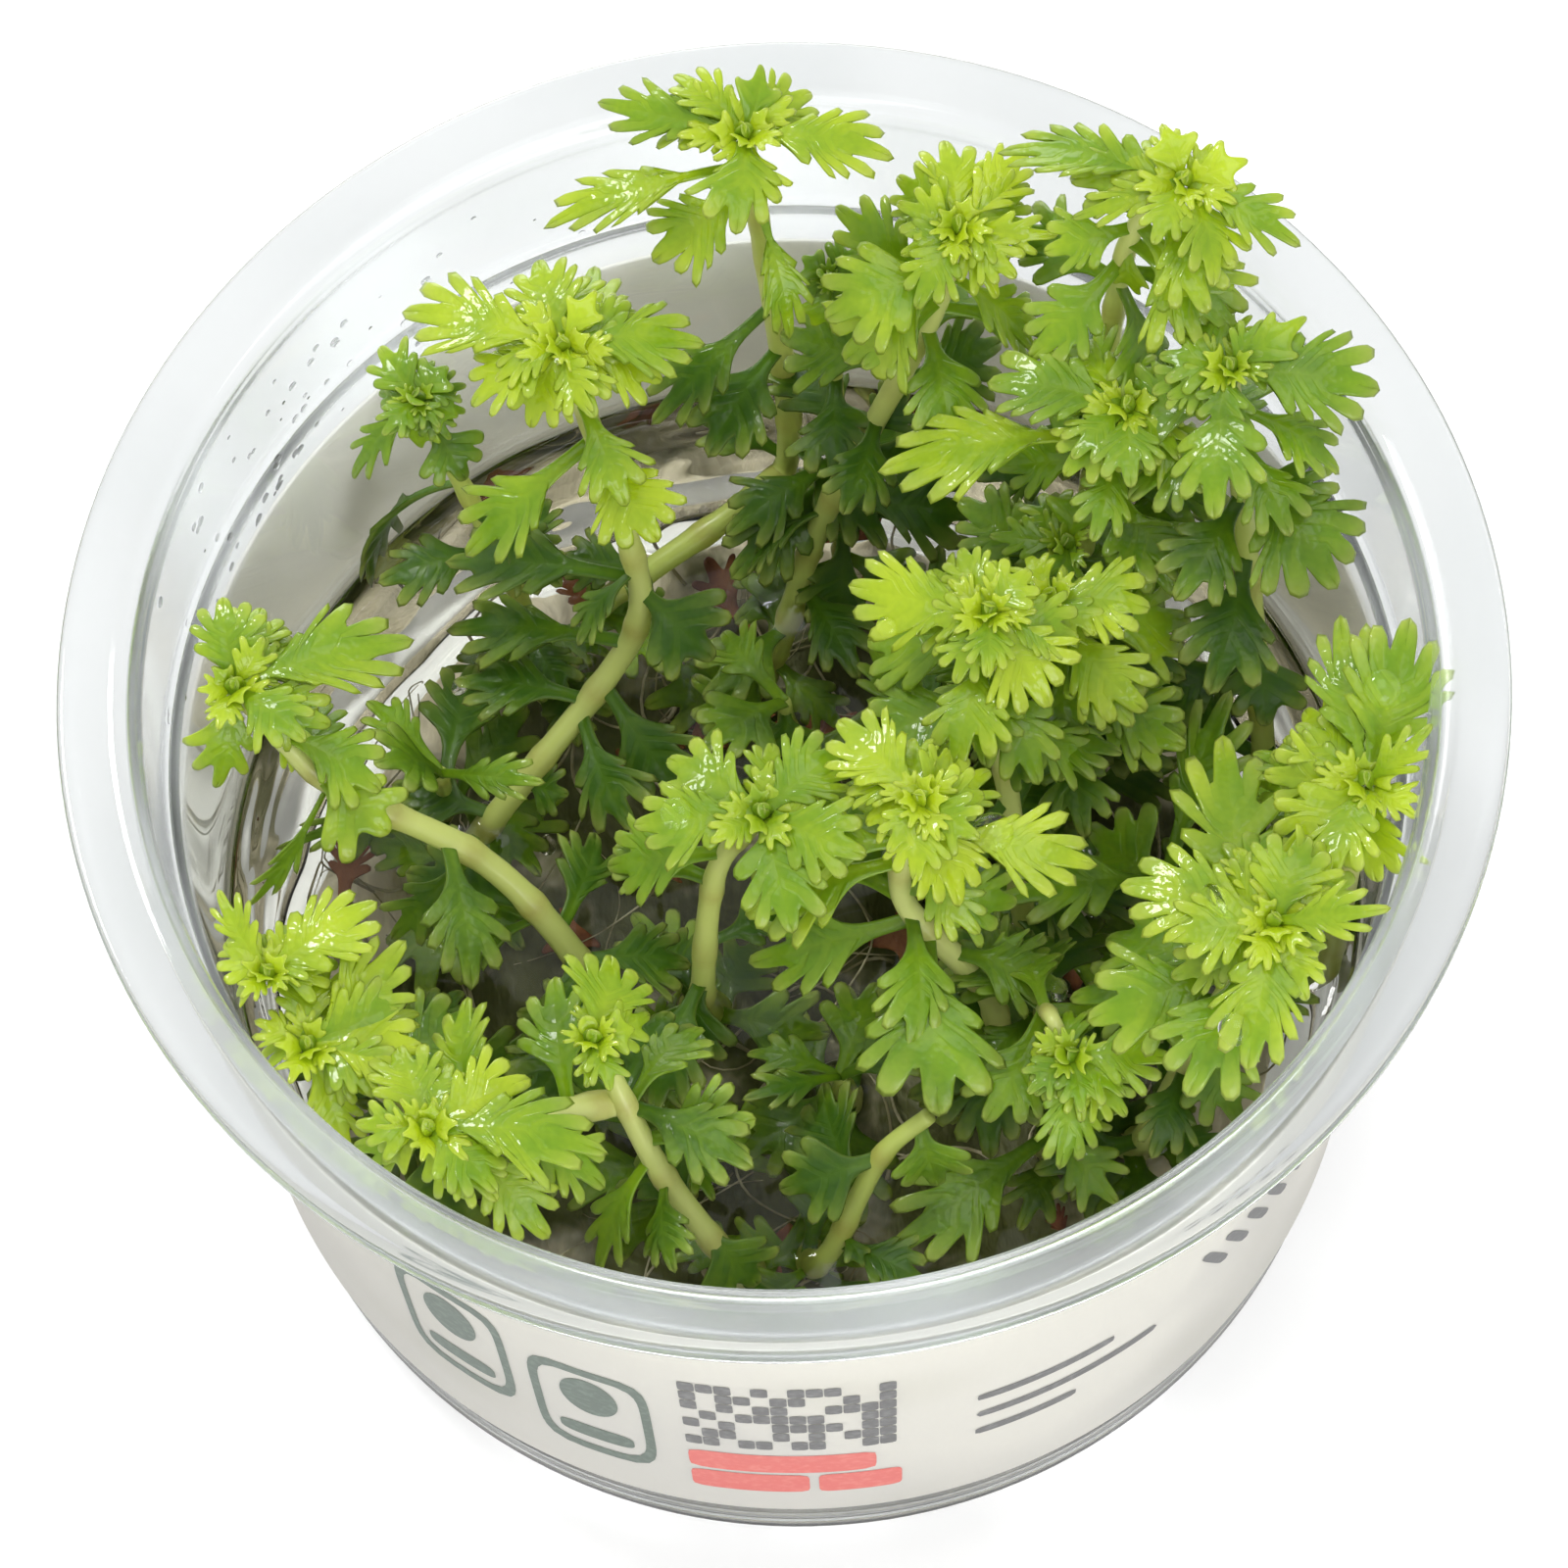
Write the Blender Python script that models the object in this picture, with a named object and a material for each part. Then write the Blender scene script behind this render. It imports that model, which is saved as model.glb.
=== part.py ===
"""Water violet grown in a shallow clear culture cup.

Every shoot is a stem with its side leaves and, where the growing tip shows,
a crown: a bud with its fan of lobed leaves.  All shoots stand on a mat of
roots at the bottom of the cup, in shallow water.  Sizes below are in
millimetres and the meshes in metres, +Z up, with the origin at the middle
of the cup's base.
"""
import math

import bmesh
import bpy
import numpy as np
from mathutils import Vector
from mathutils.bvhtree import BVHTree

MM = 0.001
GAP = 0.3                 # clear space between neighbouring solids
STEM_ROOM = 0.7           # clear space round a stem that leaves pass by
WELD = 0.02 * MM          # points nearer than this become one
FLAT = math.radians(7.0)  # patches flatter than this become one face

# cup: radius of the outer wall at four heights, floor, rim
WALL_HEIGHTS = (1.4, 49.2, 50.2, 59.9)
WALL_RADII = (40.0, 43.35, 44.15, 44.95)
WALL = 0.8
FLOOR = 1.0
RIM_RADIUS = 49.9
RIM_TOP = 62.0
RIM_THICK = 0.7
CUP_SIDES = 36

# label band round the outside of the wall
LABEL_SPAN = (7.2, 44.8)
LABEL_THICK = 0.25

# mat of roots on the floor, and the water over it
MAT_RADIUS = 36.4
MAT_TOP = 7.2
MAT_SIDES = 18
WATER_TOP = 25.3
WATER_SIDES = 32

# leaves and buds
LEAF_THICK = 0.5
LEAF_SPREAD = 1.2         # leaves are this much wider than their blade between the points
STALK_WIDTH = 0.9
RIB_MIDDLE = 0.56         # where along its length a leaf is thickest
FAN_STALK = 0.14          # share of a crown leaf that is stalk
SIDE_STALK = 0.30         # share of a side leaf that is stalk
ARCH = 0.09               # rise of a leaf's middle, as a share of its length
CUPPED = 0.05             # rise of a leaf's edges, as a share of its width
LEAF_FACING = (0.0, -0.22, 0.97)
BUD_RADIUS = 1.4
BUD_HEIGHT = 3.4
CROWN_TOP = 76.0          # height of the tallest crown
FRESH_GREEN = (0.42, 0.60, 0.03)
OLD_GREEN = (0.05, 0.16, 0.015)

# Planting plan.  "stem" lists points from the foot to the tip.  A leaf of the
# fan is (turn in degrees, reach, rise, width, lobes beside the tip), and a
# side leaf has the height where it leaves the stem in front of the same.
# A leaf that starts low on the stem keeps clear of the water.
SHOOTS = {
    "shoot_a": {
        "stem": ((-17.5, 23, 7.5), (-13.5, 24.5, 22), (-9.5, 26, 26), (-1.5, 30, 29.5),
                 (1.5, 33, 34), (-0.5, 37, 72)),
        "fan": ((70, 4.5, 2, 3, 1), (135, 6.5, 1, 4, 2), (160, 11, -1, 4, 2),
                (350, 10.5, -1, 5.5, 3)),
        "side": ((67, 190, 15, -2, 4, 3), (66, 210, 8.5, -2, 6.5, 3), (65, 285, 8.5, -8, 3.5, 3),
                 (49, 215, 11.5, -5, 4.5, 2), (31, 155, 7.5, 2, 4.5, 2)),
        "thick": 2.3,
    },
    "shoot_b": {
        "stem": ((-1.5, 22, 7.5), (0.5, 22.5, 22), (3.5, 26, 33), (12, 29.5, 57.5), (14, 32, 66)),
        "fan": ((45, 7.5, 1, 4, 2), (95, 6.5, 1, 5, 2), (160, 4.5, 1, 3.5, 2),
                (300, 5, -3, 3.5, 2), (350, 7, 0, 3, 1)),
        "side": ((62, 210, 9, -4, 8, 3), (60, 140, 9.5, 2, 5, 2), (43, 30, 3.5, 3, 4, 2)),
        "thick": 2.2,
    },
    "shoot_c": {
        "stem": ((20.5, 20.5, 7.5), (21.5, 20.5, 24), (23.5, 26, 43), (25.5, 29, 67),
                 (29.5, 30.5, 73.5)),
        "fan": ((10, 4.5, 1, 3, 1), (110, 3.5, 2, 3, 1), (160, 13.5, -2, 4.5, 3),
                (190, 8, -2, 3, 1), (330, 9, -2, 4, 2)),
        "side": ((70, 305, 9, -4, 8.5, 3), (68, 280, 2.5, -4, 2.5, 1)),
        "thick": 2.2,
    },
    "shoot_d": {
        "stem": ((35, 7.5, 7.5), (34.5, 8, 29), (32, 19.5, 66.5)),
        "fan": ((25, 6, 2, 3, 1), (45, 3.5, 2, 3, 2), (165, 5, 0, 4, 2), (220, 3, -4, 4, 2),
                (350, 10.5, -1, 7.5, 3)),
        "side": ((62, 330, 8.5, -2, 5, 2), (58, 305, 11, -2, 9, 3), (40, 275, 6, -3, 6, 2)),
        "thick": 2.2,
    },
    "shoot_e": {
        "stem": ((18, 16.5, 7.5), (19, 14.5, 29), (25, 19.5, 61.5)),
        "fan": ((130, 8, 0, 4, 2), (165, 10, 0, 7, 3), (250, 4, -4, 2.5, 1), (300, 5.5, -4, 5, 2),
                (340, 4.5, -2, 4, 2)),
        "side": ((58, 180, 17, -3, 7.5, 3), (50, 305, 9.5, 2, 7.5, 2)),
        "thick": 2.2,
    },
    "shoot_e3": {
        "stem": ((16, 17, 7.5), (19, 12.5, 32.5), (20.5, 14.5, 50.5)),
        "fan": ((65, 3.5, 2, 3, 1), (110, 4.5, 0, 4, 2), (170, 5.5, 0, 3, 2)),
        "side": (),
        "thick": 1.6,
    },
    "shoot_g": {
        "stem": ((-26, 7.5, 7.5), (-22.5, 6.5, 24), (-13, 13.5, 34), (-10, 16, 40),
                 (-10.5, 19, 47), (-14, 25.5, 64)),
        "fan": ((0, 10, -1, 5.5, 3), (50, 4, 2, 2.5, 1), (160, 12, -1, 6.5, 3),
                (240, 5.5, -3, 5, 3), (335, 5, -2, 3.5, 2)),
        "side": ((58, 85, 12.5, -1, 5, 2), (56, 210, 11.5, -6, 5.5, 2), (56, 300, 8, -3, 7, 3),
                 (43, 165, 14.5, -3, 6, 2), (42, 315, 7, -2, 6.5, 2), (37, 165, 14, -3, 5.5, 2),
                 (34, 305, 9, -4, 6, 2), (33, 165, 10, -1, 5.5, 2), (28, 340, 3.5, 0, 3.5, 2)),
        "thick": 2.3,
    },
    "shoot_h": {
        "stem": ((-20, 26, 7.5), (-19, 23, 22), (-19, 22.5, 31), (-24.5, 25, 58)),
        "fan": ((40, 3, 1, 3, 1), (120, 5, 0, 4, 2), (205, 6, -7, 3, 2), (265, 2, -4, 3, 1),
                (340, 3, -1, 2.5, 1)),
        "side": ((54, 305, 4, -3, 5, 2), (46, 170, 8.5, -18, 4.5, 2)),
        "thick": 1.9,
    },
    "shoot_i": {
        "stem": ((-13, -6.5, 7.5), (-13.5, -9, 24), (-17, -6.5, 35), (-22.5, -3, 42),
                 (-32, -0.5, 50), (-38, 4.5, 56)),
        "fan": ((15, 13, -1, 6.5, 3), (50, 3.5, 2, 3, 2), (95, 6, 2, 5, 3), (250, 5.5, -6, 4, 2)),
        "side": ((54, 345, 2.5, -3, 5, 2), (51, 320, 6.5, -2, 7, 2), (50, 225, 9, -7, 2, 1),
                 (42, 210, 7.5, -6, 4, 2), (37, 195, 7, -6, 3.5, 2), (35, 70, 9.5, -2, 5, 2),
                 (34, 280, 5.5, -3, 4.5, 2)),
        "thick": 2.5,
    },
    "shoot_j": {
        "stem": ((-27.5, -6.5, 7.5), (-27.5, -11, 22), (-36.5, -16, 53)),
        "fan": ((10, 5, -1, 4, 2), (30, 9, 1, 6, 3), (120, 6.5, 2, 3, 2), (145, 3.5, 1, 4, 2),
                (185, 2.5, -3, 2.5, 1)),
        "side": (),
        "thick": 2.0,
    },
    "shoot_js": {
        "stem": ((-27, -10.5, 7.5), (-27.5, -16.5, 27), (-34, -20.5, 50.5)),
        "fan": ((45, 10, 1, 5.5, 3), (150, 4, -2, 3.5, 2), (290, 6.5, -6, 4.5, 2),
                (355, 8, 0, 6.5, 3)),
        "side": (),
        "thick": 2.0,
    },
    "shoot_k": {
        "stem": ((-13, -22.5, 42), (-22, -25.5, 47), (-26, -27.5, 51.5)),
        "fan": ((25, 8, 0, 6, 3), (165, 4.5, -2, 3.5, 2), (195, 3.5, -4, 2.5, 1),
                (300, 5, -3, 4, 2), (350, 12.5, 0, 6.5, 3)),
        "side": ((49, 310, 9, -5, 5.5, 2), (48, 90, 10, -1, 4.5, 2)),
        "thick": 2.4,
    },
    "shoot_s": {
        "stem": ((-5, -23.5, 7.5), (-5.5, -30, 27), (-10.5, -26, 37.5), (-13.5, -21.5, 45),
                 (-14.5, -20.5, 49)),
        "fan": ((10, 3, 0, 2.5, 1), (75, 6.5, 0, 6.5, 3)),
        "side": ((40, 5, 8, 1, 6.5, 2), (39, 235, 7.5, -6, 4.5, 2), (33, 320, 5, -4, 6, 2)),
        "thick": 2.4,
    },
    "shoot_l": {
        "stem": ((-7, -4, 7.5), (-7, -9.5, 30), (-5.5, -7, 45), (-2, -6, 53)),
        "fan": ((35, 7.5, 1, 6, 3), (180, 9, -1, 6, 3)),
        "side": ((32, 245, 5, -4, 6, 2),),
        "thick": 2.3,
    },
    "shoot_m": {
        "stem": ((15, -8, 7.5), (14.5, -11, 18), (13, -13, 36), (7.5, -10, 46), (9, -7, 56)),
        "fan": ((5, 4.5, -1, 4, 2), (130, 8.5, 0, 6, 3), (190, 4, -2, 4.5, 2), (290, 7, -4, 6, 3)),
        "side": ((53, 345, 13, 0, 6, 3), (50, 190, 11.5, -3, 7.5, 2), (44, 185, 12, -4, 6, 2),
                 (43, 270, 13, -2, 10, 2), (39, 20, 4.5, 3, 1.5, 1), (36, 25, 4.5, 5, 1.5, 1)),
        "thick": 2.4,
    },
    "shoot_n": {
        "stem": ((17, -0.5, 7.5), (16.5, -3.5, 24), (15.5, 0, 40), (14.5, 4.5, 50.5),
                 (14.5, 6, 58)),
        "fan": ((40, 4, 1, 4, 2), (165, 10, 0, 6.5, 3), (205, 4, -2, 3.5, 2), (305, 7, -4, 7, 3)),
        "side": ((50, 220, 5.5, -4, 4.5, 2), (44, 325, 3.5, 2, 4.5, 2)),
        "thick": 2.2,
    },
    "shoot_o": {
        "stem": ((21.5, 11.5, 7.5), (21, 8, 24), (20.5, 7, 36), (19, 8.5, 54.5)),
        "fan": ((285, 3, -4, 2.5, 1), (350, 7, 0, 6.5, 3)),
        "side": ((42, 330, 9.5, -1, 6, 2), (38, 45, 1.5, -2, 4, 2)),
        "thick": 1.8,
    },
    "shoot_p": {
        "stem": ((37.5, -3, 7.5), (38, -9, 28), (39.5, -8.5, 58)),
        "fan": ((25, 5, 4, 3, 2), (70, 11, 4, 7.5, 3), (95, 12, 2, 5.5, 3), (155, 7, -1, 4.5, 2),
                (185, 4.5, -2, 3, 1), (275, 5.5, -5, 6.5, 3)),
        "side": (),
        "thick": 2.2,
    },
    "shoot_q": {
        "stem": ((23.5, -15.5, 7.5), (23.5, -20, 22), (24.5, -21.5, 30), (28.5, -19, 43),
                 (32.5, -18.5, 58)),
        "fan": ((65, 6, 2, 6, 3), (160, 11, -1, 7, 3), (255, 10, -3, 7, 3),
                (315, 4.5, -3, 2.5, 1), (350, 7.5, 4, 3.5, 2)),
        "side": ((51, 195, 11.5, -1, 7, 2), (50, 90, 17.5, 2, 7, 2), (41, 290, 6.5, -3, 5, 2)),
        "thick": 2.3,
    },
    "shoot_r": {
        "stem": ((17, -5, 7.5), (17, -17, 41), (18.5, -22, 44.5)),
        "fan": ((205, 3.5, -2, 3.5, 2), (260, 7, -4, 5, 3), (300, 2.5, -2, 2, 1),
                (355, 7, 0, 5, 2)),
        "side": (),
        "thick": 1.8,
    },
    "shoot_u": {
        "stem": ((0, -23, 7.5), (0, -28, 22), (1.5, -28, 27), (5, -24.5, 34), (8.5, -23, 37.5)),
        "side": ((37, 290, 3.5, -4, 5.5, 2), (34, 190, 7.5, -2, 6, 2), (28, 300, 3, 0, 2, 1)),
        "thick": 2.1,
    },
    "shoot_t": {
        "stem": ((4.5, 30, 7.5), (5, 29.5, 27), (5, 33.5, 56)),
        "fan": ((40, 3, 1, 4, 2), (140, 2.5, 1, 2.5, 1), (235, 2.5, -3, 3, 1)),
        "side": ((32, 220, 11, -2, 7, 2), (32, 295, 6, -1, 4.5, 2)),
        "thick": 1.6,
    },
    "shoot_low1": {
        "stem": ((0.5, 16.5, 7.5), (0, 12.5, 31)),
        "side": ((31, 215, 7.5, 2, 6, 2), (31, 120, 9, -3, 4.5, 2), (30, 265, 3, -2, 4.5, 2)),
        "thick": 1.8,
    },
    "shoot_low2": {
        "stem": ((11, 11.5, 7.5), (10.5, 7.5, 30)),
        "side": ((30, 110, 11.5, -2, 4.5, 2), (30, 85, 16.5, 3, 5.5, 2), (30, 230, 13, 8, 4.5, 2)),
        "thick": 1.8,
    },
    "shoot_low3": {
        "stem": ((27.5, 0.5, 7.5), (26.5, -4.5, 33)),
        "side": ((33, 140, 7, 1, 6.5, 2), (33, 65, 12.5, 8, 5.5, 2), (33, 195, 13, 7, 6, 2),
                 (33, 295, 7, 0, 5, 2)),
        "thick": 1.9,
    },
    "shoot_low4": {
        "stem": ((-25.5, 14, 7.5), (-25, 7.5, 33)),
        "side": ((33, 130, 8, 0, 4.5, 2), (33, 200, 4.5, 6, 6, 2), (33, 200, 13, -2, 2.5, 1),
                 (33, 335, 8, 5, 3.5, 2)),
        "thick": 1.8,
    },
    "shoot_low5": {
        "stem": ((2.5, -11.5, 7.5), (2.5, -17, 31)),
        "side": ((31, 160, 7, 0, 4, 2), (31, 200, 7.5, 3, 3, 2), (31, 65, 7, 2, 5.5, 2),
                 (31, 15, 6, 2, 4, 2)),
        "thick": 1.8,
    },
    "shoot_low6": {
        "stem": ((17.5, -16, 7.5), (17.5, -21, 29)),
        "side": ((29, 305, 7, -1, 4, 2), (29, 350, 5, 5, 3, 2), (28, 215, 15, 0, 6.5, 2)),
        "thick": 1.8,
    },
    "shoot_low7": {
        "stem": ((-9.5, -17.5, 7.5), (-9.5, -21, 27.5)),
        "side": ((27, 305, 4.5, 1, 3.5, 2), (27, 140, 11, 3, 3, 2)),
        "thick": 1.7,
    },
}


def wipe():
    """Remove whatever the file opens with."""
    for obj in list(bpy.data.objects):
        bpy.data.objects.remove(obj, do_unlink=True)


def material(name, colour, roughness, alpha=1.0):
    """Make a plain material of one colour."""
    mat = bpy.data.materials.new(name)
    mat.use_nodes = True
    shader = mat.node_tree.nodes["Principled BSDF"]
    shader.inputs["Base Color"].default_value = (*colour, 1.0)
    shader.inputs["Roughness"].default_value = roughness
    shader.inputs["Metallic"].default_value = 0.0
    shader.inputs["Alpha"].default_value = alpha
    mat.diffuse_color = (*colour, alpha)
    return mat


def dress(obj, mat, smooth=False):
    """Give an object its one material and its shading."""
    obj.data.materials.clear()
    obj.data.materials.append(mat)
    obj.data.polygons.foreach_set("use_smooth", [smooth] * len(obj.data.polygons))
    if smooth:
        obj.data.set_sharp_from_angle(angle=math.radians(30.0))


def linked(name, mesh):
    """Put a mesh into the scene as an object."""
    obj = bpy.data.objects.new(name, mesh)
    bpy.context.collection.objects.link(obj)
    return obj


def finished(name, form):
    """Turn a bmesh in millimetres into an object of triangles facing out."""
    bmesh.ops.scale(form, vec=(MM, MM, MM), verts=form.verts)
    bmesh.ops.recalc_face_normals(form, faces=form.faces)
    bmesh.ops.triangulate(form, faces=form.faces)
    mesh = bpy.data.meshes.new(name)
    form.to_mesh(mesh)
    form.free()
    return linked(name, mesh)


def drop(obj):
    """Delete an object together with its mesh."""
    mesh = obj.data
    bpy.data.objects.remove(obj, do_unlink=True)
    bpy.data.meshes.remove(mesh)


def combine(obj, other, how):
    """Join or cut an object with another one and keep the result."""
    step = obj.modifiers.new("step", "BOOLEAN")
    step.operation = how
    step.solver = "EXACT"
    step.use_self = True
    step.object = other
    graph = bpy.context.evaluated_depsgraph_get()
    result = bpy.data.meshes.new_from_object(obj.evaluated_get(graph))
    obj.modifiers.remove(step)
    old, obj.data = obj.data, result
    bpy.data.meshes.remove(old)


def tidy(obj):
    """Weld and triangulate an object so that its skin stays closed.

    Nearly flat patches are merged first.  Where that or the weld would open
    the skin, the next and plainer way is taken.
    """
    for weld, merge, way in ((True, True, "BEAUTY"), (False, True, "BEAUTY"),
                             (False, False, "BEAUTY"), (False, False, "EAR_CLIP")):
        form = bmesh.new()
        form.from_mesh(obj.data)
        if weld:
            bmesh.ops.remove_doubles(form, verts=form.verts, dist=WELD)
            bmesh.ops.dissolve_degenerate(form, dist=WELD / 2.0, edges=form.edges)
        if merge:
            bmesh.ops.dissolve_limit(form, angle_limit=FLAT, verts=form.verts, edges=form.edges)
        bmesh.ops.triangulate(form, faces=form.faces, ngon_method=way)
        closed = all(edge.is_manifold for edge in form.edges)
        if closed:
            bmesh.ops.recalc_face_normals(form, faces=form.faces)
            form.to_mesh(obj.data)
        form.free()
        if closed:
            break


def islands(form):
    """Split the faces of a bmesh into connected groups."""
    left = set(form.faces)
    groups = []
    while left:
        stack = [left.pop()]
        group = list(stack)
        while stack:
            near = {f for edge in stack.pop().edges for f in edge.link_faces} & left
            left -= near
            stack += near
            group += near
        groups.append(group)
    return groups


def keep_island(obj, root=None):
    """Keep one connected piece: the one nearest a point, or the largest."""
    form = bmesh.new()
    form.from_mesh(obj.data)
    groups = islands(form)
    if len(groups) > 1:
        if root is None:
            kept = max(groups, key=lambda g: sum(f.calc_area() for f in g))
        else:
            goal = Vector(root) * MM
            kept = min(groups, key=lambda g: min((v.co - goal).length for f in g for v in f.verts))
        lost = [face for group in groups if group is not kept for face in group]
        bmesh.ops.delete(form, geom=lost, context="FACES")
        form.to_mesh(obj.data)
    form.free()


def corners(obj):
    """Lowest and highest corner of the box round an object's mesh."""
    points = np.array([v.co for v in obj.data.vertices])
    return points.min(axis=0), points.max(axis=0)


def swollen(obj, by):
    """Copy an object with its skin moved outwards by some millimetres."""
    copy = linked("swollen", obj.data.copy())
    copy.hide_render = True
    copy.display_type = "WIRE"
    form = bmesh.new()
    form.from_mesh(copy.data)
    form.normal_update()
    moves = [v.normal * by * MM * min(v.calc_shell_factor(), 2.0) for v in form.verts]
    for vert, move in zip(form.verts, moves):
        vert.co += move
    form.to_mesh(copy.data)
    form.free()
    return copy


def crowded(first, second, room):
    """Whether two objects come nearer to each other than the room."""
    (low_a, high_a), (low_b, high_b) = corners(first), corners(second)
    if np.any(low_a - room * MM > high_b) or np.any(low_b - room * MM > high_a):
        return False
    fat = swollen(second, room)
    trees = []
    for obj in (first, fat):
        form = bmesh.new()
        form.from_mesh(obj.data)
        trees.append(BVHTree.FromBMesh(form))
        form.free()
    drop(fat)
    return bool(trees[0].overlap(trees[1]))


def carve(obj, others, room, root=None):
    """Cut an object clear of its neighbours and keep one piece of it."""
    crowding = [other for other in others if crowded(obj, other, room)]
    for other in crowding:
        tool = swollen(other, room)
        combine(obj, tool, "DIFFERENCE")
        drop(tool)
    if crowding:
        tidy(obj)
        keep_island(obj, root)


def spun(name, outline, sides, ring=False):
    """Spin an outline of (radius, height) points round the Z axis.

    An open outline starts and ends on the axis; a ring's outline is closed.
    """
    form = bmesh.new()
    verts = [form.verts.new((radius, 0.0, height)) for radius, height in outline]
    edges = [form.edges.new(pair) for pair in zip(verts, verts[1:])]
    if ring:
        edges.append(form.edges.new((verts[-1], verts[0])))
    bmesh.ops.spin(form, geom=verts + edges, cent=(0, 0, 0), axis=(0, 0, 1),
                   angle=math.tau, steps=sides, use_merge=True)
    bmesh.ops.remove_doubles(form, verts=form.verts, dist=0.01)
    return finished(name, form)


def wall_radius(height):
    """Outer radius of the cup's wall at a height."""
    return float(np.interp(height, WALL_HEIGHTS, WALL_RADII))


def build_cup():
    """Cup: flat base, tapered wall, stacking step and wide flat rim."""
    base_radius = wall_radius(0.0)
    outside = [(0.0, 0.0), (base_radius - 1.3, 0.0)]
    outside += [(wall_radius(z), z) for z in WALL_HEIGHTS]
    rim = [(RIM_RADIUS, RIM_TOP - RIM_THICK), (RIM_RADIUS, RIM_TOP),
           (wall_radius(60.0) + 1.0, RIM_TOP)]
    inside = [(wall_radius(z) - WALL, z) for z in (60.5, 50.2, 49.2, 2.6)]
    inside += [(base_radius - 2.2, FLOOR), (0.0, FLOOR)]
    return spun("cup", outside + rim + inside, CUP_SIDES)


def build_label():
    """Band of label that wraps the wall."""
    inner = [(wall_radius(z) + GAP, z) for z in LABEL_SPAN]
    outer = [(radius + LABEL_THICK, z) for radius, z in reversed(inner)]
    return spun("label", inner + outer, CUP_SIDES, ring=True)


def build_root_mat():
    """Mat of roots: a thick disc with an uneven edge."""
    low = FLOOR + GAP
    mat = spun("root_mat", [(0.0, low), (MAT_RADIUS - 0.6, low), (MAT_RADIUS, 4.0),
                            (MAT_RADIUS - 2.6, MAT_TOP - 0.2), (0.0, MAT_TOP)], MAT_SIDES)
    for vert in mat.data.vertices:
        turn = math.atan2(vert.co.y, vert.co.x)
        swell = 1.0 + 0.008 * math.sin(5.0 * turn) + 0.006 * math.sin(8.0 * turn + 1.0)
        vert.co.xy *= swell
    return mat


def build_water(stems):
    """Water over the mat and round it, with a channel for every stem."""
    under, low = MAT_TOP + GAP, FLOOR + GAP
    skirt = MAT_RADIUS + 1.0
    edge = [(wall_radius(z) - WALL - GAP, z) for z in (2.9, WATER_TOP)]
    water = spun("water", [(0.0, under), (skirt, under), (skirt, low), (skirt + 0.4, low)]
                 + edge + [(0.0, WATER_TOP)], WATER_SIDES)
    for stem in stems:
        tool = swollen(stem, GAP)
        combine(water, tool, "DIFFERENCE")
        drop(tool)
    tidy(water)
    return water


def build_tube(name, points, thick):
    """Stem: a square-sided curve through its points, slimmer at the foot."""
    curve = bpy.data.curves.new(name, "CURVE")
    curve.dimensions = "3D"
    curve.bevel_depth = 0.56 * thick * MM
    curve.bevel_resolution = 0
    curve.use_fill_caps = True
    line = curve.splines.new("POLY")
    line.points.add(len(points) - 1)
    for i, (spot, point) in enumerate(zip(line.points, points)):
        spot.co = (*(MM * np.array(point)), 1.0)
        spot.radius = 0.8 + 0.2 * i / (len(points) - 1)
    shape = linked(name, curve)
    graph = bpy.context.evaluated_depsgraph_get()
    mesh = bpy.data.meshes.new_from_object(shape.evaluated_get(graph))
    bpy.data.objects.remove(shape)
    bpy.data.curves.remove(curve)
    form = bmesh.new()
    form.from_mesh(mesh)
    bpy.data.meshes.remove(mesh)
    bmesh.ops.scale(form, vec=(1.0 / MM, 1.0 / MM, 1.0 / MM), verts=form.verts)
    bmesh.ops.remove_doubles(form, verts=form.verts, dist=0.01)
    return finished(name, form)


def unit(vector):
    """Scale a vector to length one."""
    return vector / np.linalg.norm(vector)


def half_edge(lobes, stalk, slim):
    """One edge of a leaf as (share of its length, share of its width).

    Lobe k of m has its point at 1 - 0.8 (1 - k / (m + 1)) ** 1.25 along the
    blade.  The blade is widest at two thirds, and each notch lies a little
    behind the middle of its two lobes, about two thirds as far out.
    """
    tips = [1.0 - 0.8 * (1.0 - k / (lobes + 1)) ** 1.25 for k in range(1, lobes + 2)]
    reach = [0.5 * (1.0 - ((q - 0.66) / (0.44 if q < 0.66 else 0.34)) ** 2) for q in tips]
    edge = [(0.5 * tips[0], max(0.42 * reach[0], slim))]
    for k in range(lobes):
        edge.append((tips[k], reach[k]))
        notch = (tips[k] + tips[k + 1]) / 2.0 - 0.06
        edge.append((notch, 0.04 + 0.30 * (reach[k] + reach[k + 1])))
    if stalk > FAN_STALK:
        edge.insert(0, (0.0, slim))
    return [(0.0, slim)] + [(stalk + (1.0 - stalk) * q, r) for q, r in edge]


def build_leaf(name, base, tip, width, lobes, stalk):
    """Lobed leaf: thick along the midrib, thin at the edges, arched and cupped."""
    width *= LEAF_SPREAD
    length = np.linalg.norm(tip - base)
    along = (tip - base) / length
    facing = np.array(LEAF_FACING)
    normal = unit(facing - along * facing.dot(along))
    side = np.cross(normal, along)
    form = bmesh.new()

    def spot(share, out, lift=0.0):
        rise = length * ARCH * 4.0 * share * (1.0 - share) + width * CUPPED * (2.0 * out) ** 2
        return form.verts.new(base + along * length * share + side * width * out
                              + normal * (rise + lift))

    edge = half_edge(lobes, stalk, 0.5 * STALK_WIDTH / width)
    point = spot(1.0, 0.0)
    edges = [[spot(q, hand * r) for q, r in edge] + [point] for hand in (1.0, -1.0)]
    for lift in (0.5 * LEAF_THICK, -0.5 * LEAF_THICK):
        middle = spot(RIB_MIDDLE, 0.0, lift)
        for row in edges:
            for pair in zip(row, row[1:]):
                form.faces.new((*pair, middle))
        form.faces.new((edges[0][0], edges[1][0], middle))
    return finished(name, form)


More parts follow.
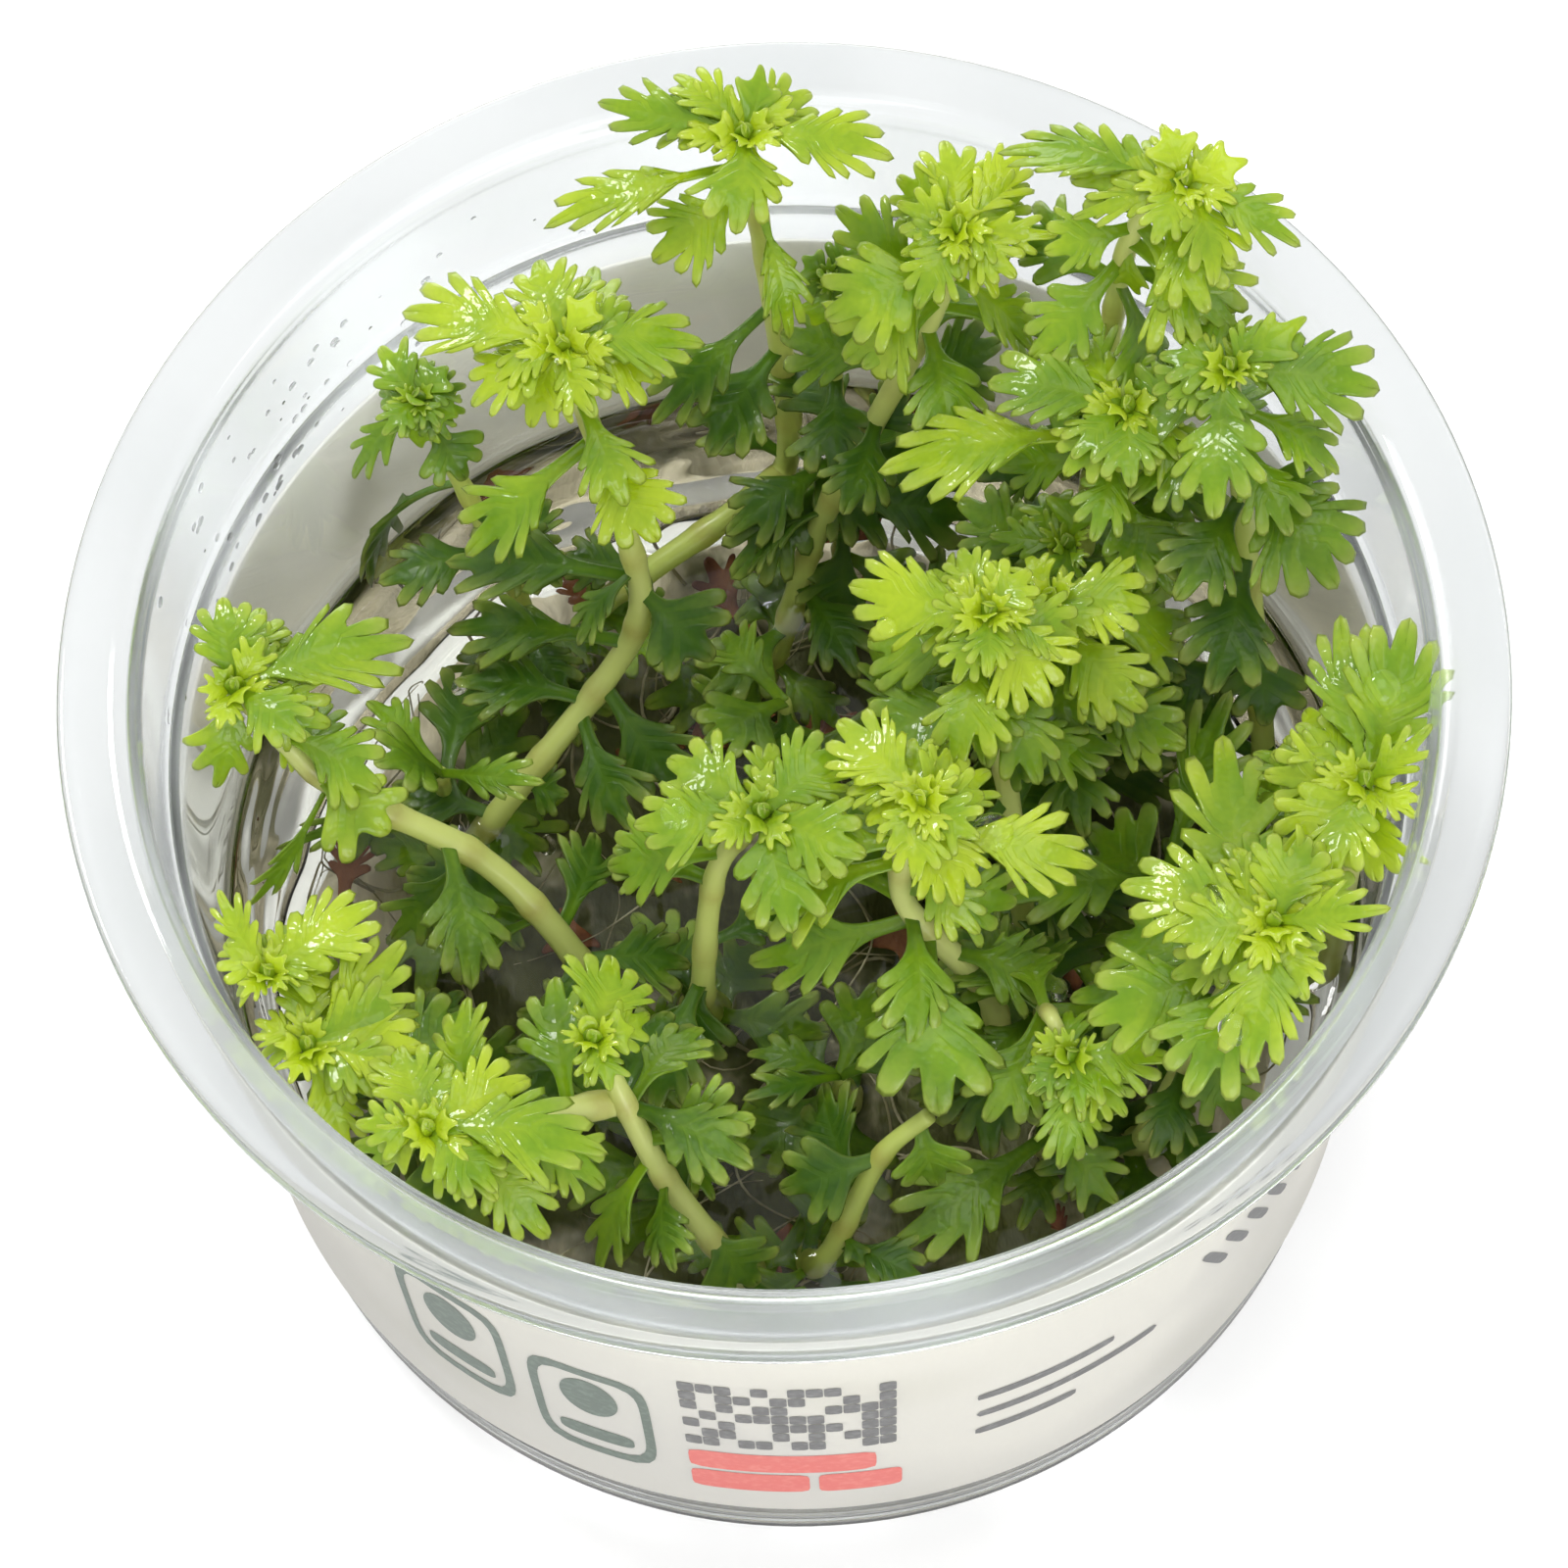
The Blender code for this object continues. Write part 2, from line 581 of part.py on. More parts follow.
def build_bud(name, centre):
    """Bud in the middle of a crown: a small upright cone."""
    form = bmesh.new()
    bmesh.ops.create_cone(form, cap_ends=True, segments=5, radius1=BUD_RADIUS, radius2=0.2,
                          depth=BUD_HEIGHT)
    bmesh.ops.translate(form, verts=form.verts, vec=centre)
    return finished(name, form)


def stem_at(points, height):
    """Point of a stem at a height, searched from the tip down."""
    for low, high in reversed(list(zip(points, points[1:]))):
        if low[2] <= height <= high[2]:
            return low + (high - low) * (height - low[2]) / (high[2] - low[2])
    return points[-1]


def leaf_tip(base, turn, reach, rise):
    """Tip of a leaf that leaves a point in some direction."""
    angle = math.radians(turn)
    return base + np.array([reach * math.cos(angle), reach * math.sin(angle), rise])


class Shoot:
    """One shoot: its stem, its side leaves and its crown, as loose solids."""

    def __init__(self, name, plan):
        self.name = name
        points = [np.array(p, float) for p in plan["stem"]]
        self.crown = points[-1] if "fan" in plan else None
        self.top = points[-1][2]
        drawn = list(points)
        if self.crown is not None:
            below = unit(points[-2] - points[-1])
            drawn[-1] = points[-1] + below * (0.5 * BUD_HEIGHT + 2.0 * GAP)
        self.tube = build_tube(name + "_stem", drawn, plan["thick"])
        self.side = []
        for height, turn, reach, rise, width, lobes in plan["side"]:
            base = stem_at(points, min(height, drawn[-1][2] - 0.5))
            tip = leaf_tip(base, turn, reach, rise)
            self.side.append((build_leaf("side", base, tip, width, lobes, SIDE_STALK), base))
        self.fan = []
        for turn, reach, rise, width, lobes in plan.get("fan", ()):
            tip = leaf_tip(self.crown, turn, reach, rise)
            base = self.crown + unit(tip - self.crown) * 0.5
            self.fan.append((build_leaf("fan", base, tip, width, lobes, FAN_STALK), base))

    def make_room(self, tubes):
        """Cut the leaves clear of the stems that they pass."""
        for piece, base in self.side + self.fan:
            carve(piece, [t for t in tubes if t is not self.tube], STEM_ROOM, base)
        for piece, base in self.fan:
            carve(piece, [self.tube], GAP, base)

    def grow(self):
        """Join the leaves to the stem and to the bud, and return the solids."""
        grown = [join_all(self.tube, self.side)]
        if self.crown is not None:
            grown.append(join_all(build_bud(self.name + "_crown", self.crown), self.fan))
        return grown


def join_all(obj, pieces):
    """Fuse loose solids to the one that they grow from."""
    for piece, _ in pieces:
        combine(obj, piece, "UNION")
        drop(piece)
    tidy(obj)
    keep_island(obj)
    return obj


def main():
    """Build every piece and give it its material."""
    wipe()
    cup, label, root_mat = build_cup(), build_label(), build_root_mat()
    shoots = [Shoot(name, plan) for name, plan in SHOOTS.items()]
    tubes = {shoot.name: shoot.tube for shoot in shoots}
    branch, carrier = tubes["shoot_k"], tubes["shoot_s"]
    carve(branch, [carrier], GAP, SHOOTS["shoot_k"]["stem"][-1])
    water = build_water(tubes.values())
    for shoot in shoots:
        shoot.make_room(tubes.values())

    # upper shoots keep their form and lower ones give way
    shoots.sort(key=lambda shoot: -shoot.top)
    placed = [cup]
    for node in [node for shoot in shoots for node in reversed(shoot.grow())]:
        carve(node, placed, GAP)
        placed.append(node)

    dress(cup, material("cup_plastic", (0.86, 0.89, 0.89), 0.18, 0.35), True)
    dress(label, material("label_paper", (0.86, 0.85, 0.83), 0.55), True)
    dress(water, material("water_clear", (0.52, 0.49, 0.38), 0.05, 0.35))
    dress(root_mat, material("root_fibre", (0.24, 0.17, 0.08), 0.8))
    for node in placed[1:]:
        high = corners(node)[1][2] / MM / CROWN_TOP
        colour = np.array(OLD_GREEN) + (np.array(FRESH_GREEN) - OLD_GREEN) * high ** 2
        dress(node, material(node.name + "_leaf", tuple(map(float, colour)), 0.4))


main()
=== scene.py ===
import logging
import math
from collections.abc import Callable
from dataclasses import dataclass, field
from enum import Enum

import bpy
import numpy as np
from mathutils import Matrix


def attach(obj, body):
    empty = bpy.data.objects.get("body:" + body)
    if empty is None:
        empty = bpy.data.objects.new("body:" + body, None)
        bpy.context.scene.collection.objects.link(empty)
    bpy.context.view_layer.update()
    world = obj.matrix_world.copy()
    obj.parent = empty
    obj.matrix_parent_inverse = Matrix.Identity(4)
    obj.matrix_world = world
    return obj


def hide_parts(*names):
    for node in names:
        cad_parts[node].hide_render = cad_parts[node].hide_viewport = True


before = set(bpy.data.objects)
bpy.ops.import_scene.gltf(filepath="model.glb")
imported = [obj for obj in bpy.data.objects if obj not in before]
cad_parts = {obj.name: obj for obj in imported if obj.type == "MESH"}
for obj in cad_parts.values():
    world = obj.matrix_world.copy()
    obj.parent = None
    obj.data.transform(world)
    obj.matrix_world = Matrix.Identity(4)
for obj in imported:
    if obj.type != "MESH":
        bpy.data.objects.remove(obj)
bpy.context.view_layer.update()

MM = 0.001
SEED = 11
GOLDEN_TURN = 137.5
WHITE = (1.0, 1.0, 1.0, 1.0)
WATER_IOR = 1.333
LOG = logging.getLogger("water_violet")

# cup, water and mat, as the solids have them
WALL_HEIGHTS = (0.0, 1.4, 49.2, 50.2, 59.9)
WALL_RADII = (39.9, 40.0, 43.35, 44.15, 44.95)
WALL = 0.8
WATER_GAP = 0.05
WATER_TOP = 25.3
MAT_RADIUS = 36.4
MAT_TOP = 7.2

# boxes of the clear ways down between the leaves: lowest and highest corners
WAYS_LOW = np.array([(-8.8, -35.8, 44.4), (-17.0, 0.5, 36.4)])
WAYS_HIGH = np.array([(14.6, -15.0, 62.0), (4.2, 9.5, 62.0)])


@dataclass(frozen=True)
class Plan:
    """One shoot of the planting plan, which is the solids' plan too.

    The stem lists points from the foot to the tip.  A leaf of the fan is
    (turn in degrees, reach, rise, width, lobes beside the tip), and a side
    leaf has the height where it leaves the stem in front of the same.  The
    age is that of the crown, from 0 to 1.
    """

    thick: float
    age: float
    stem: tuple
    side: tuple
    fan: tuple = ()
    bare: bool = False


SHOOTS = {
    "a": Plan(2.3, 0.17,
        ((-17.5, 23, 7.5), (-13.5, 24.5, 22), (-9.5, 26, 26), (-1.5, 30, 29.5), (1.5, 33, 34),
         (-0.5, 37, 72)),
        ((67, 190, 15, -2, 4, 3), (66, 210, 8.5, -2, 6.5, 3), (65, 285, 8.5, -8, 3.5, 3),
         (49, 215, 11.5, -5, 4.5, 2), (31, 155, 7.5, 2, 4.5, 2)),
        ((70, 4.5, 2, 3, 1), (135, 6.5, 1, 4, 2), (160, 11, -1, 4, 2), (350, 10.5, -1, 5.5, 3)),
        bare=True),
    "b": Plan(2.2, 0.16,
        ((-1.5, 22, 7.5), (0.5, 22.5, 22), (3.5, 26, 33), (12, 29.5, 57.5), (14, 32, 66)),
        ((62, 210, 9, -4, 8, 3), (60, 140, 9.5, 2, 5, 2), (43, 30, 3.5, 3, 4, 2)),
        ((45, 7.5, 1, 4, 2), (95, 6.5, 1, 5, 2), (160, 4.5, 1, 3.5, 2), (300, 5, -3, 3.5, 2),
         (350, 7, 0, 3, 1))),
    "c": Plan(2.2, 0.16,
        ((20.5, 20.5, 7.5), (21.5, 20.5, 24), (23.5, 26, 43), (25.5, 29, 67), (29.5, 30.5, 73.5)),
        ((70, 305, 9, -4, 8.5, 3), (68, 280, 2.5, -4, 2.5, 1)),
        ((10, 4.5, 1, 3, 1), (110, 3.5, 2, 3, 1), (160, 13.5, -2, 4.5, 3), (190, 8, -2, 3, 1),
         (330, 9, -2, 4, 2))),
    "d": Plan(2.2, 0.34,
        ((35, 7.5, 7.5), (34.5, 8, 29), (32, 19.5, 66.5)),
        ((62, 330, 8.5, -2, 5, 2), (58, 305, 11, -2, 9, 3), (40, 275, 6, -3, 6, 2)),
        ((25, 6, 2, 3, 1), (45, 3.5, 2, 3, 2), (165, 5, 0, 4, 2), (220, 3, -4, 4, 2),
         (350, 10.5, -1, 7.5, 3))),
    "e": Plan(2.2, 0.25,
        ((18, 16.5, 7.5), (19, 14.5, 29), (25, 19.5, 61.5)),
        ((58, 180, 17, -3, 7.5, 3), (50, 305, 9.5, 2, 7.5, 2)),
        ((130, 8, 0, 4, 2), (165, 10, 0, 7, 3), (250, 4, -4, 2.5, 1), (300, 5.5, -4, 5, 2),
         (340, 4.5, -2, 4, 2))),
    "e3": Plan(1.6, 0.45,
        ((16, 17, 7.5), (19, 12.5, 32.5), (20.5, 14.5, 50.5)),
        (),
        ((65, 3.5, 2, 3, 1), (110, 4.5, 0, 4, 2), (170, 5.5, 0, 3, 2))),
    "g": Plan(2.3, 0.11,
        ((-26, 7.5, 7.5), (-22.5, 6.5, 24), (-13, 13.5, 34), (-10, 16, 40), (-10.5, 19, 47),
         (-14, 25.5, 64)),
        ((58, 85, 12.5, -1, 5, 2), (56, 210, 11.5, -6, 5.5, 2), (56, 300, 8, -3, 7, 3),
         (43, 165, 14.5, -3, 6, 2), (42, 315, 7, -2, 6.5, 2), (37, 165, 14, -3, 5.5, 2),
         (34, 305, 9, -4, 6, 2), (33, 165, 10, -1, 5.5, 2), (28, 340, 3.5, 0, 3.5, 2)),
        ((0, 10, -1, 5.5, 3), (50, 4, 2, 2.5, 1), (160, 12, -1, 6.5, 3), (240, 5.5, -3, 5, 3),
         (335, 5, -2, 3.5, 2))),
    "h": Plan(1.9, 0.49,
        ((-20, 26, 7.5), (-19, 23, 22), (-19, 22.5, 31), (-24.5, 25, 58)),
        ((54, 305, 4, -3, 5, 2), (46, 170, 8.5, -18, 4.5, 2)),
        ((40, 3, 1, 3, 1), (120, 5, 0, 4, 2), (205, 6, -7, 3, 2), (265, 2, -4, 3, 1),
         (340, 3, -1, 2.5, 1)), bare=True),
    "i": Plan(2.5, 0.26,
        ((-13, -6.5, 7.5), (-13.5, -9, 24), (-17, -6.5, 35), (-22.5, -3, 42), (-32, -0.5, 50),
         (-38, 4.5, 56)),
        ((54, 345, 2.5, -3, 5, 2), (51, 320, 6.5, -2, 7, 2), (50, 225, 9, -7, 2, 1),
         (42, 210, 7.5, -6, 4, 2), (37, 195, 7, -6, 3.5, 2), (35, 70, 9.5, -2, 5, 2),
         (34, 280, 5.5, -3, 4.5, 2)),
        ((15, 13, -1, 6.5, 3), (50, 3.5, 2, 3, 2), (95, 6, 2, 5, 3), (250, 5.5, -6, 4, 2))),
    "j": Plan(2.0, 0.16,
        ((-27.5, -6.5, 7.5), (-27.5, -11, 22), (-36.5, -16, 53)),
        (),
        ((10, 5, -1, 4, 2), (30, 9, 1, 6, 3), (120, 6.5, 2, 3, 2), (145, 3.5, 1, 4, 2),
         (185, 2.5, -3, 2.5, 1)), bare=True),
    "js": Plan(2.0, 0.15,
        ((-27, -10.5, 7.5), (-27.5, -16.5, 27), (-34, -20.5, 50.5)),
        (),
        ((45, 10, 1, 5.5, 3), (150, 4, -2, 3.5, 2), (290, 6.5, -6, 4.5, 2), (355, 8, 0, 6.5, 3))),
    "k": Plan(2.4, 0.2,
        ((-13, -22.5, 42), (-22, -25.5, 47), (-26, -27.5, 51.5)),
        ((49, 310, 9, -5, 5.5, 2), (48, 90, 10, -1, 4.5, 2)),
        ((25, 8, 0, 6, 3), (165, 4.5, -2, 3.5, 2), (195, 3.5, -4, 2.5, 1), (300, 5, -3, 4, 2),
         (350, 12.5, 0, 6.5, 3))),
    "s": Plan(2.4, 0.28,
        ((-5, -23.5, 7.5), (-5.5, -30, 27), (-10.5, -26, 37.5), (-13.5, -21.5, 45), (-14.5, -20.5, 49)),
        ((40, 5, 8, 1, 6.5, 2), (39, 235, 7.5, -6, 4.5, 2), (33, 320, 5, -4, 6, 2)),
        ((10, 3, 0, 2.5, 1), (75, 6.5, 0, 6.5, 3)), bare=True),
    "l": Plan(2.3, 0.3,
        ((-7, -4, 7.5), (-7, -9.5, 30), (-5.5, -7, 45), (-2, -6, 53)),
        ((32, 245, 5, -4, 6, 2),),
        ((35, 7.5, 1, 6, 3), (180, 9, -1, 6, 3))),
    "m": Plan(2.4, 0.11,
        ((15, -8, 7.5), (14.5, -11, 18), (13, -13, 36), (7.5, -10, 46), (9, -7, 56)),
        ((53, 345, 13, 0, 6, 3), (50, 190, 11.5, -3, 7.5, 2), (44, 185, 12, -4, 6, 2),
         (43, 270, 13, -2, 10, 2), (39, 20, 4.5, 3, 1.5, 1), (36, 25, 4.5, 5, 1.5, 1)),
        ((5, 4.5, -1, 4, 2), (130, 8.5, 0, 6, 3), (190, 4, -2, 4.5, 2), (290, 7, -4, 6, 3))),
    "n": Plan(2.2, 0.17,
        ((17, -0.5, 7.5), (16.5, -3.5, 24), (15.5, 0, 40), (14.5, 4.5, 50.5), (14.5, 6, 58)),
        ((50, 220, 5.5, -4, 4.5, 2), (44, 325, 3.5, 2, 4.5, 2)),
        ((40, 4, 1, 4, 2), (165, 10, 0, 6.5, 3), (205, 4, -2, 3.5, 2), (305, 7, -4, 7, 3))),
    "o": Plan(1.8, 0.15,
        ((21.5, 11.5, 7.5), (21, 8, 24), (20.5, 7, 36), (19, 8.5, 54.5)),
        ((42, 330, 9.5, -1, 6, 2), (38, 45, 1.5, -2, 4, 2)),
        ((285, 3, -4, 2.5, 1), (350, 7, 0, 6.5, 3))),
    "p": Plan(2.2, 0.2,
        ((37.5, -3, 7.5), (38, -9, 28), (39.5, -8.5, 58)),
        (),
        ((25, 5, 4, 3, 2), (70, 11, 4, 7.5, 3), (95, 12, 2, 5.5, 3), (155, 7, -1, 4.5, 2),
         (185, 4.5, -2, 3, 1), (275, 5.5, -5, 6.5, 3))),
    "q": Plan(2.3, 0.18,
        ((23.5, -15.5, 7.5), (23.5, -20, 22), (24.5, -21.5, 30), (28.5, -19, 43), (32.5, -18.5, 58)),
        ((51, 195, 11.5, -1, 7, 2), (50, 90, 17.5, 2, 7, 2), (41, 290, 6.5, -3, 5, 2)),
        ((65, 6, 2, 6, 3), (160, 11, -1, 7, 3), (255, 10, -3, 7, 3), (315, 4.5, -3, 2.5, 1),
         (350, 7.5, 4, 3.5, 2))),
    "r": Plan(1.8, 0.38,
        ((17, -5, 7.5), (17, -17, 41), (18.5, -22, 44.5)),
        (),
        ((205, 3.5, -2, 3.5, 2), (260, 7, -4, 5, 3), (300, 2.5, -2, 2, 1), (355, 7, 0, 5, 2))),
    "u": Plan(2.1, 0.65,
        ((0, -23, 7.5), (0, -28, 22), (1.5, -28, 27), (5, -24.5, 34), (8.5, -23, 37.5)),
        ((37, 290, 3.5, -4, 5.5, 2), (34, 190, 7.5, -2, 6, 2), (28, 300, 3, 0, 2, 1))),
    "t": Plan(1.6, 0.5,
        ((4.5, 30, 7.5), (5, 29.5, 27), (5, 33.5, 56)),
        ((32, 220, 11, -2, 7, 2), (32, 295, 6, -1, 4.5, 2)),
        ((40, 3, 1, 4, 2), (140, 2.5, 1, 2.5, 1), (235, 2.5, -3, 3, 1)), bare=True),
    "low1": Plan(1.8, 0.7,
        ((0.5, 16.5, 7.5), (0, 12.5, 31)),
        ((31, 215, 7.5, 2, 6, 2), (31, 120, 9, -3, 4.5, 2), (30, 265, 3, -2, 4.5, 2))),
    "low2": Plan(1.8, 0.72,
        ((11, 11.5, 7.5), (10.5, 7.5, 30)),
        ((30, 110, 11.5, -2, 4.5, 2), (30, 85, 16.5, 3, 5.5, 2), (30, 230, 13, 8, 4.5, 2))),
    "low3": Plan(1.9, 0.6,
        ((27.5, 0.5, 7.5), (26.5, -4.5, 33)),
        ((33, 140, 7, 1, 6.5, 2), (33, 65, 12.5, 8, 5.5, 2), (33, 195, 13, 7, 6, 2),
         (33, 295, 7, 0, 5, 2))),
    "low4": Plan(1.8, 0.66,
        ((-25.5, 14, 7.5), (-25, 7.5, 33)),
        ((33, 130, 8, 0, 4.5, 2), (33, 200, 4.5, 6, 6, 2), (33, 200, 13, -2, 2.5, 1),
         (33, 335, 8, 5, 3.5, 2))),
    "low5": Plan(1.8, 0.78,
        ((2.5, -11.5, 7.5), (2.5, -17, 31)),
        ((31, 160, 7, 0, 4, 2), (31, 200, 7.5, 3, 3, 2), (31, 65, 7, 2, 5.5, 2), (31, 15, 6, 2, 4, 2))),
    "low6": Plan(1.8, 0.62,
        ((17.5, -16, 7.5), (17.5, -21, 29)),
        ((29, 305, 7, -1, 4, 2), (29, 350, 5, 5, 3, 2), (28, 215, 15, 0, 6.5, 2))),
    "low7": Plan(1.7, 0.8,
        ((-9.5, -17.5, 7.5), (-9.5, -21, 27.5)),
        ((27, 305, 4.5, 1, 3.5, 2), (27, 140, 11, 3, 3, 2))),
}


class LeafKind(Enum):
    """Where a leaf grows, with the share of its length that is stalk."""

    FAN = 0.10
    SIDE = 0.26
    YOUNG = 0.05
    FALLEN = 0.2


class Edge(Enum):
    """Which end rings of a strip get a middle point; JOINED runs on to its start."""

    OPEN = ()
    FIRST = (0,)
    POLES = (0, -1)
    JOINED = None


def unit(vector: np.ndarray) -> np.ndarray:
    """Scale vectors along the last axis to length one."""
    return vector / np.maximum(np.linalg.norm(vector, axis=-1, keepdims=True), 1e-12)


def circle(count: int) -> np.ndarray:
    """Angles once round, at even steps."""
    return np.linspace(0.0, math.tau, count, endpoint=False)


def polar(radius: np.ndarray | float, angle: np.ndarray | float,
          height: np.ndarray | float) -> np.ndarray:
    """Points from distances to the Z axis, angles round it and heights."""
    return np.stack(np.broadcast_arrays(radius * np.cos(angle), radius * np.sin(angle), height),
                    axis=-1)


def spun(profile: np.ndarray, sides: int) -> np.ndarray:
    """Turn (radius, height) rows round the Z axis into rings."""
    return polar(profile[:, 0:1], circle(sides), profile[:, 1:2])


def wall_radius(height: np.ndarray | float) -> np.ndarray:
    """Outer radius of the cup's wall at a height."""
    return np.interp(height, WALL_HEIGHTS, WALL_RADII)


def in_way(spot: np.ndarray) -> bool:
    """Tell whether a place lies in one of the clear ways down."""
    return bool(np.any(np.all((spot > WAYS_LOW) & (spot < WAYS_HIGH), axis=1)))


def smooth_path(points: np.ndarray, count: int) -> np.ndarray:
    """Carry a smooth line through a few points.

    Between two points the line is the Catmull-Rom cubic: a blend of the
    four nearest points whose slope at each point is half the step between
    its neighbours.

    Args:
        points: the points, one row each.
        count: how many points the line gets.

    Returns:
        Points of the line, one row each.
    """
    padded = np.vstack([2 * points[0] - points[1], points, 2 * points[-1] - points[-2]])
    place = np.linspace(0.0, len(points) - 1 - 1e-9, count)
    k = place.astype(int)
    t = (place - k)[:, None]
    a, b, c, d = (padded[k + i] for i in range(4))
    return 0.5 * (2 * b + (c - a) * t + (2 * a - 5 * b + 4 * c - d) * t ** 2
                  + (3 * b - a - 3 * c + d) * t ** 3)


def rounded(points: np.ndarray, rounds: int) -> np.ndarray:
    """Cut the corners of an open outline, each at a quarter of its sides.

    Args:
        points: corners of the outline.
        rounds: how often the corners are cut.

    Returns:
        The rounded outline, its two ends kept.
    """
    for _ in range(rounds):
        near = 0.75 * points[:-1] + 0.25 * points[1:]
        far = 0.25 * points[:-1] + 0.75 * points[1:]
        cut = np.stack([near, far], axis=1).reshape(-1, points.shape[1])
        points = np.vstack([points[:1], cut[1:-1], points[-1:]])
    return points


def along(points: np.ndarray) -> np.ndarray:
    """Length of a line up to each of its points."""
    steps = np.linalg.norm(np.diff(points, axis=0), axis=1)
    return np.concatenate([[0.0], np.cumsum(steps)])


def evenly(points: np.ndarray, count: int) -> np.ndarray:
    """Place points at even steps along an outline, measured in the first two columns."""
    length = along(points[:, :2])
    place = np.linspace(0.0, length[-1], count)
    return np.stack([np.interp(place, length, column) for column in points.T], axis=1)


def tube_rings(path: np.ndarray, radius: np.ndarray, sides: int) -> np.ndarray:
    """Carry a circle along a path, across its direction.

    Its two axes are the direction crossed with a fixed guide, and with that
    again.

    Args:
        path: points of the path.
        radius: radius at each point.
        sides: points on each circle.

    Returns:
        Rings as (path point, place on the ring, coordinate).
    """
    ahead = unit(np.gradient(path, axis=0))
    across = unit(np.cross(ahead, (0.83, 0.31, 0.12)))
    turn = circle(sides)[None, :, None]
    ring = np.cos(turn) * across[:, None] + np.sin(turn) * np.cross(ahead, across)[:, None]
    return path[:, None] + radius[:, None, None] * ring


@dataclass
class Skin:
    """Arrays of one mesh, grown strip by strip, then made an object.

    Every point has three marks: its age, how near it is to a vein, and how
    near it is to the tip of a lobe.  On the root mat the age mark holds painted
    light by the wall and painted shade in the middle instead.
    """

    points: list = field(default_factory=list)
    faces: list = field(default_factory=list)
    marks: list = field(default_factory=list)
    slots: list = field(default_factory=list)
    count: int = 0

    def add(self, rings: np.ndarray, marks: np.ndarray | None = None, slot: int = 0,
            ends: Edge = Edge.POLES) -> None:
        """Add a strip: four-sided faces between one closed ring and the next.

        Args:
            rings: points in millimetres, as (ring, place on the ring, coordinate).
            marks: marks of the points, in the same order.
            slot: number of the strip's material.
            ends: how its ends are closed.
        """
        n, m = rings.shape[:2]
        number = np.arange(n * m).reshape(n, m)
        low, high = number[:-1], number[1:]
        if ends is Edge.JOINED:
            low, high = number, np.roll(number, -1, 0)
        here = np.stack([low, np.roll(low, -1, 1), np.roll(high, -1, 1), high], axis=-1)
        faces = [here.reshape(-1, 4)]
        marks = np.zeros(rings.shape) if marks is None else marks
        points, flat = rings.reshape(-1, 3), marks.reshape(-1, 3)
        for end in ends.value or ():
            ring = number[end][::-1] if end == 0 else number[end]
            pole = np.full(m, len(points))
            faces.append(np.stack([ring, np.roll(ring, -1), pole], axis=1))
            points = np.vstack([points, rings[end].mean(0)])
            flat = np.vstack([flat, marks[end].mean(0)])
        self.points.append(points)
        self.marks.append(flat)
        for block in faces:
            self.faces.append(block + self.count)
            self.slots.append(np.full(len(block), slot, dtype=np.int32))
        self.count += len(points)

    def build(self, name: str, *materials: bpy.types.Material) -> bpy.types.Object:
        """Make the object.

        Args:
            name: its name.
            materials: its materials, in the order of the slots.

        Returns:
            The new object, linked to the scene.
        """
        mesh = bpy.data.meshes.new(name)
        sizes = np.concatenate([np.full(len(b), b.shape[1], dtype=np.int32) for b in self.faces])
        corners = np.concatenate([b.reshape(-1) for b in self.faces]).astype(np.int32)
        points = np.vstack(self.points) * MM
        mesh.vertices.add(len(points))
        mesh.vertices.foreach_set("co", points.astype(np.float32).reshape(-1))
        mesh.loops.add(len(corners))
        mesh.loops.foreach_set("vertex_index", corners)
        mesh.polygons.add(len(sizes))
        mesh.polygons.foreach_set("loop_start", (np.cumsum(sizes) - sizes).astype(np.int32))
        mesh.polygons.foreach_set("material_index", np.concatenate(self.slots))
        mesh.polygons.foreach_set("use_smooth", np.ones(len(sizes), dtype=bool))
        mesh.update(calc_edges=True)
        for mark, column in zip(("age", "vein", "tip"), np.vstack(self.marks).T):
            layer = mesh.attributes.new(mark, "FLOAT", "POINT")
            layer.data.foreach_set("value", column.astype(np.float32))
        for material in materials:
            mesh.materials.append(material)
        obj = bpy.data.objects.new(name, mesh)
        bpy.context.collection.objects.link(obj)
        return obj


